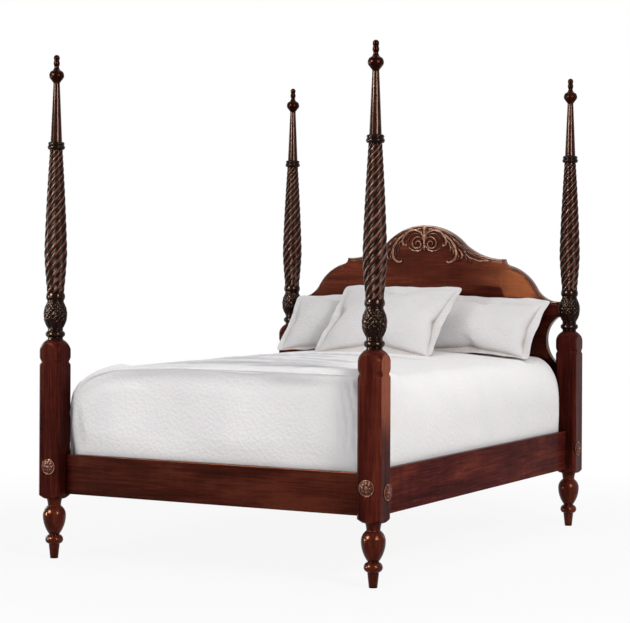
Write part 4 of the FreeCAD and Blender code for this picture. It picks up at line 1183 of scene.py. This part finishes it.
# Rows of the border from the seam to the hem, and half the thickness at each.
BORDER_STEPS = np.array((-0.10, 0.12, 0.35, 0.6, 0.78, 0.82, 0.97, 1.0))
BORDER_HALVES = np.array((0.0012, 0.0014, 0.0014, 0.0015, 0.0016, 0.0024, 0.0022, 0.0004))
SUNK = 0.010
FILL_FRAMES = 34
FILL_SETTINGS = {
    "quality": 6,
    "mass": 0.25,
    "tension_stiffness": 18,
    "compression_stiffness": 12,
    "shear_stiffness": 6,
    "bending_stiffness": 0.6,
    "air_damping": 2.5,
    "use_pressure": True,
    "uniform_pressure_force": 5.0,
}


def puff_grid(width, height):
    """Points and faces of a closed bag of two layers laid flat, and the loop of its edge."""
    columns = int(round(width / PILLOW_CELL)) + 1
    rows = int(round(height / PILLOW_CELL)) + 1
    u, v = np.meshgrid(np.linspace(-0.5, 0.5, columns), np.linspace(-0.5, 0.5, rows))
    number = np.arange(columns * rows).reshape(rows, columns)
    loop = np.concatenate([
        number[0], number[1:, -1], number[-1, -2::-1], number[-2:0:-1, 0],
    ])
    inner = np.ones(u.shape, bool)
    inner.flat[loop] = False
    lift = np.where(inner, 0.004 + 0.020 * np.cos(math.pi * u) * np.cos(math.pi * v), 0)
    front = np.stack([u * width, v * height, lift], -1)
    back = front[inner] * np.array((1, 1, -1))
    number[inner] = columns * rows + np.arange(inner.sum())
    order = number.ravel()
    faces = grid_faces(rows, columns)
    faces += [tuple(int(order[k]) for k in face[::-1]) for face in faces]
    return np.vstack([front.reshape(-1, 3), back]), faces, loop


def blow_up(bags):
    """Fills the bags as cloth under pressure and returns their settled points."""
    scene = bpy.context.scene
    for bag in bags:
        cloth = bag.modifiers.new("fill", "CLOTH")
        for name, value in FILL_SETTINGS.items():
            setattr(cloth.settings, name, value)
        cloth.settings.effector_weights.gravity = 0.0
        cloth.point_cache.frame_start = 1
        cloth.point_cache.frame_end = FILL_FRAMES
    for number in range(1, FILL_FRAMES + 1):
        scene.frame_set(number)
    settled = []
    graph = bpy.context.evaluated_depsgraph_get()
    for bag in bags:
        shaped = bag.evaluated_get(graph).to_mesh()
        points = np.empty(len(shaped.vertices) * 3)
        shaped.vertices.foreach_get("co", points)
        settled.append(points.reshape(-1, 3))
        bag.evaluated_get(graph).to_mesh_clear()
        bag.modifiers.clear()
    scene.frame_set(1)
    return settled


def edge_place(along_edge, across_edge, size):
    """Place on one axis of the sham's edge for a place on the bag's edge."""
    at_end = np.sign(along_edge) * (np.abs(along_edge) > 0.4999)
    return along_edge * size - at_end * SIDE_DRAW * (1 - (2 * across_edge) ** 2)


class Pillow:
    """One flanged sham: its sizes, its bag of filling and its place on the bed."""

    def __init__(self, node, height, flange, lean, tilt, seed):
        self.node = node
        self.height = height
        self.lean = math.radians(lean)
        self.tilt = math.radians(tilt)
        self.seed = seed
        low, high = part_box(node)
        self.centre = np.array((low + high) / 2)
        # The lower border is tucked under by the pillow's weight, so a quarter of it shows.
        self.bag_size = (PILLOW_WIDTH - 2 * flange, height - 1.25 * flange)
        self.drop = 0.375 * flange
        self.points, self.faces, self.loop = puff_grid(
            self.bag_size[0] * BAG_SLACK[0], self.bag_size[1] * BAG_SLACK[1],
        )
        plan = self.points[:, :2]
        self.share = plan / (plan.max(0) - plan.min(0))
        mesh = bpy.data.meshes.new(node + "_bag")
        mesh.from_pydata(self.points.tolist(), [], self.faces)
        self.bag = link(node + "_bag", mesh)

    def fit(self, points):
        """Evens out the filled bag, brings it to size and rounds it towards a soft lens."""
        pairs = np.array(
            [(face[k], face[(k + 1) % 4]) for face in self.faces for k in range(4)]
        )
        count = np.bincount(pairs[:, 0], minlength=len(points))[:, None]
        for _ in range(5):
            total = np.zeros_like(points)
            np.add.at(total, pairs[:, 0], points[pairs[:, 1]])
            points = 0.4 * points + 0.6 * total / count
        spread = points.max(0) - points.min(0)
        middle = 0.5 * (points.max(0) + points.min(0))
        points = (points - middle) * np.array((*self.bag_size, PILLOW_THICK)) / spread
        u, v = np.cos(math.pi * self.share.T)
        soft = np.clip(u * v, 0, 1) ** LENS_POWER
        lens = np.sign(self.points[:, 2]) * 0.5 * PILLOW_THICK * soft
        points[:, 2] = (1 - LENS_SHARE) * points[:, 2] + LENS_SHARE * lens
        points[:, 1] -= self.drop
        return points

    def flange(self, points):
        """The double flat border round the bag, with its hem and a gentle wave."""
        seam = points[self.loop]
        u, v = self.share[self.loop].T
        x, y = edge_place(u, v, PILLOW_WIDTH), edge_place(v, u, self.height)
        outer = np.column_stack([x, y, np.zeros(len(x))])
        for _ in range(7):
            outer = 0.5 * outer + 0.25 * (np.roll(outer, 1, 0) + np.roll(outer, -1, 0))
        wave = 0.0045 * waves(outer, 0.11, self.seed)
        wave = wave + 0.003 * waves(outer, 0.05, self.seed + 1)
        steps = np.concatenate([BORDER_STEPS, BORDER_STEPS[::-1]])
        halves = np.concatenate([BORDER_HALVES, -BORDER_HALVES[::-1]])
        layers = []
        for step, half in zip(steps, halves):
            line = seam + (outer - seam) * step
            line[:, 2] += wave * max(step, 0) ** 1.2
            layers.append(line + np.array((0, 0, half)))
        return np.vstack(layers), grid_faces(len(layers), len(self.loop), wrap=True)

    def sculpt(self, points):
        """Slack folds, ears that fall back, and fuller filling low down."""
        x = points[:, 0] / (0.5 * PILLOW_WIDTH)
        y = points[:, 1] / (0.5 * self.height)
        moved = points.copy()
        ears = (np.abs(x) ** 4) * np.clip(y, 0, 1) ** 3
        moved[:, 2] -= 0.020 * ears
        moved[:, 2] *= 1 + 0.10 * np.clip(-y, -1, 1) * (1 - np.abs(x) ** 2)
        moved[:, 2] += 0.0022 * waves(points, 0.09, self.seed + 4) * (1 - np.abs(y) ** 3)
        return moved

    def place(self, points):
        up = np.array((0, math.cos(self.lean), math.sin(self.lean)))
        out = np.array((0, -math.sin(self.lean), math.cos(self.lean)))
        across = np.array((1.0, 0, 0))
        first = math.cos(self.tilt) * across + math.sin(self.tilt) * up
        second = math.cos(self.tilt) * up - math.sin(self.tilt) * across
        sunk = self.centre - np.array((0, 0, SUNK))
        return sunk + points[:, :1] * first + points[:, 1:2] * second + points[:, 2:] * out

    def make(self, filled):
        body = self.fit(filled)
        border, border_faces = self.flange(body)
        points = self.place(self.sculpt(np.vstack([body, border])))
        faces = self.faces + [tuple(k + len(body) for k in face) for face in border_faces]
        bpy.data.objects.remove(self.bag)
        name = f"{self.node}_sham"
        piece = make_piece(name, points, faces, pillow_cloth, self.node)
        finer = piece.modifiers.new("finer", "SUBSURF")
        finer.levels = finer.render_levels = 1
        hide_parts(self.node)


pillows = [
    Pillow("pillow_left", 0.385, 0.032, 50, 2, 21),
    Pillow("pillow_right", 0.385, 0.036, 50, -2, 33),
    Pillow("pillow_front", 0.500, 0.026, 43, 0, 45),
]
filled = blow_up([pillow.bag for pillow in pillows])
for pillow, points in zip(pillows, filled):
    pillow.make(points)


# Floor, light and camera

FLOOR_REACH = 60.0
WHITE = (1, 1, 1, 1)
WORLD_COLOUR = (0.96, 0.98, 1.0, 1)
WORLD_STRENGTH = 0.26


def seen_rays(tree):
    """1 for the rays that show the white surround, 0 for those that light the bed."""
    path = add(tree, "LightPath").outputs
    seen = math_node(tree, "MAXIMUM", path["Is Camera Ray"], path["Is Transmission Ray"])
    return math_node(tree, "MAXIMUM", seen, path["Is Glossy Ray"])


def finish_blend(tree, factor, first, second, output):
    """Two shaders mixed into an output node."""
    blend = add(tree, "MixShader", Fac=factor)
    tree.links.new(first.outputs[0], blend.inputs[1])
    tree.links.new(second.outputs[0], blend.inputs[2])
    tree.links.new(blend.outputs["Shader"], add(tree, output).inputs["Surface"])


def pale_floor():
    """White where it is seen, with a faint shade under the bed, and pale where it lights."""
    material, tree = new_tree("pale_floor")
    tone = stretched_noise(tree, (1.3, 1.3, 1.3), 2.0, 0.5)
    lit = add(tree, "BsdfDiffuse", Color=ramp(tree, tone, [(0.0, 0.58), (1.0, 0.64)]))
    glow = add(tree, "Emission", Color=WHITE, Strength=1.0)
    away = add(tree, "VectorMath", {"operation": "LENGTH"}, Vector=object_place(tree))
    away = math_node(tree, "DIVIDE", away.outputs["Value"], 10.0)
    share = ramp(tree, away, [(0.18, 0.90), (0.34, 1.0)])
    factor = math_node(tree, "MULTIPLY", seen_rays(tree), share)
    finish_blend(tree, factor, lit, glow, "OutputMaterial")
    return material


def make_floor():
    mesh = bpy.data.meshes.new("floor")
    square = [(-1, -1), (1, -1), (1, 1), (-1, 1)]
    corners = [(x * FLOOR_REACH, y * FLOOR_REACH, 0) for x, y in square]
    mesh.from_pydata(corners, [], [(0, 1, 2, 3)])
    mesh.materials.append(pale_floor())
    link("floor", mesh)


def make_world():
    world = bpy.data.worlds.new("studio")
    bpy.context.scene.world = world
    world.use_nodes = True
    tree = world.node_tree
    tree.nodes.clear()
    soft = add(tree, "Background", Color=WORLD_COLOUR, Strength=WORLD_STRENGTH)
    white = add(tree, "Background", Color=WHITE, Strength=1.0)
    finish_blend(tree, seen_rays(tree), soft, white, "OutputWorld")


def soft_lamp(name, place, target, size, power, colour, spread=True, gleam=True):
    """An area lamp; spread and gleam say whether it lights surfaces and whether they mirror it."""
    light = bpy.data.lights.new(name, "AREA")
    light.shape = "RECTANGLE"
    light.size, light.size_y = size
    light.energy = power
    light.color = colour
    lamp = link(name, light)
    lamp.location = place
    ahead = Vector(target) - Vector(place)
    lamp.rotation_euler = ahead.to_track_quat("-Z", "Y").to_euler()
    lamp.visible_camera = False
    lamp.visible_diffuse = spread
    lamp.visible_glossy = gleam


# The camera's lens and the height of its axis are given in pixels of the picture.
PICTURE = (630, 623)
FOCAL_PIXELS = 2059.76
CENTRE_V = 244.8142
SENSOR_WIDTH = 36
YAW = math.radians(28.4084)
ROLL = math.radians(0.2995)
CAMERA_PLACE = (4.5538, -8.5469, 1.3907)


def make_camera():
    ahead = Vector((-math.sin(YAW), math.cos(YAW), 0))
    right = Vector((math.cos(YAW), math.sin(YAW), 0))
    up = Vector((0, 0, 1))
    camera_x = right * math.cos(ROLL) + up * math.sin(ROLL)
    camera_y = up * math.cos(ROLL) - right * math.sin(ROLL)
    data = bpy.data.cameras.new("camera")
    data.sensor_fit = "HORIZONTAL"
    data.sensor_width = SENSOR_WIDTH
    data.lens = FOCAL_PIXELS * SENSOR_WIDTH / PICTURE[0]
    data.shift_y = -(PICTURE[1] / 2 - CENTRE_V) / PICTURE[0]
    data.clip_end = 200
    camera = link("camera", data)
    turn = Matrix((camera_x, camera_y, -ahead)).transposed().to_4x4()
    camera.matrix_world = Matrix.Translation(CAMERA_PLACE) @ turn
    bpy.context.scene.camera = camera


make_floor()
make_world()
soft_lamp("key", (5.6, -3.2, 4.6), (0.0, 0.0, 0.7), (1.5, 1.5), 300, (1.0, 0.985, 0.97))
soft_lamp("front", (-2.55, -7.6, 1.55), (0.0, 0.0, 0.8), (1.4, 1.4), 190, (1.0, 0.99, 0.99),
          gleam=False)
soft_lamp("side", (4.2, 3.0, 1.4), (0.8, 0.7, 0.6), (1.0, 1.0), 34, (1.0, 0.99, 0.985),
          gleam=False)
soft_lamp("above", (0.2, 0.4, 5.6), (0.0, 0.0, 0.8), (3.2, 3.2), 84, (1.0, 1.0, 1.0))
soft_lamp("left_strip", (-6.0, 1.0, 1.6), (-0.4, 0.0, 0.9), (0.5, 2.6), 60, (1.0, 0.95, 0.90))
soft_lamp("board_gleam", (-3.02, -7.6, 1.05), (0.5, 1.0, 1.2), (0.24, 0.36), 13,
          (1.0, 0.78, 0.56), spread=False)
soft_lamp("right_gleam", (1.75, 0.70, 0.74), (0.84, -1.08, 0.70), (0.30, 0.50), 6,
          (1.0, 0.34, 0.17), spread=False)
soft_lamp("left_gleam", (-5.5, -4.5, 0.9), (0.0, -0.5, 0.5), (0.6, 1.8), 650,
          (1.0, 0.80, 0.62), spread=False)
soft_lamp("left_spark", (-3.4, -6.6, 4.2), (0.0, 0.0, 1.6), (2.4, 2.4), 3100,
          (1.0, 0.90, 0.82), spread=False)
soft_lamp("right_spark", (7.2, -4.4, 3.6), (0.0, 0.0, 1.6), (2.4, 2.4), 1500,
          (1.0, 0.90, 0.82), spread=False)
make_camera()
bpy.context.scene.view_settings.view_transform = "Standard"
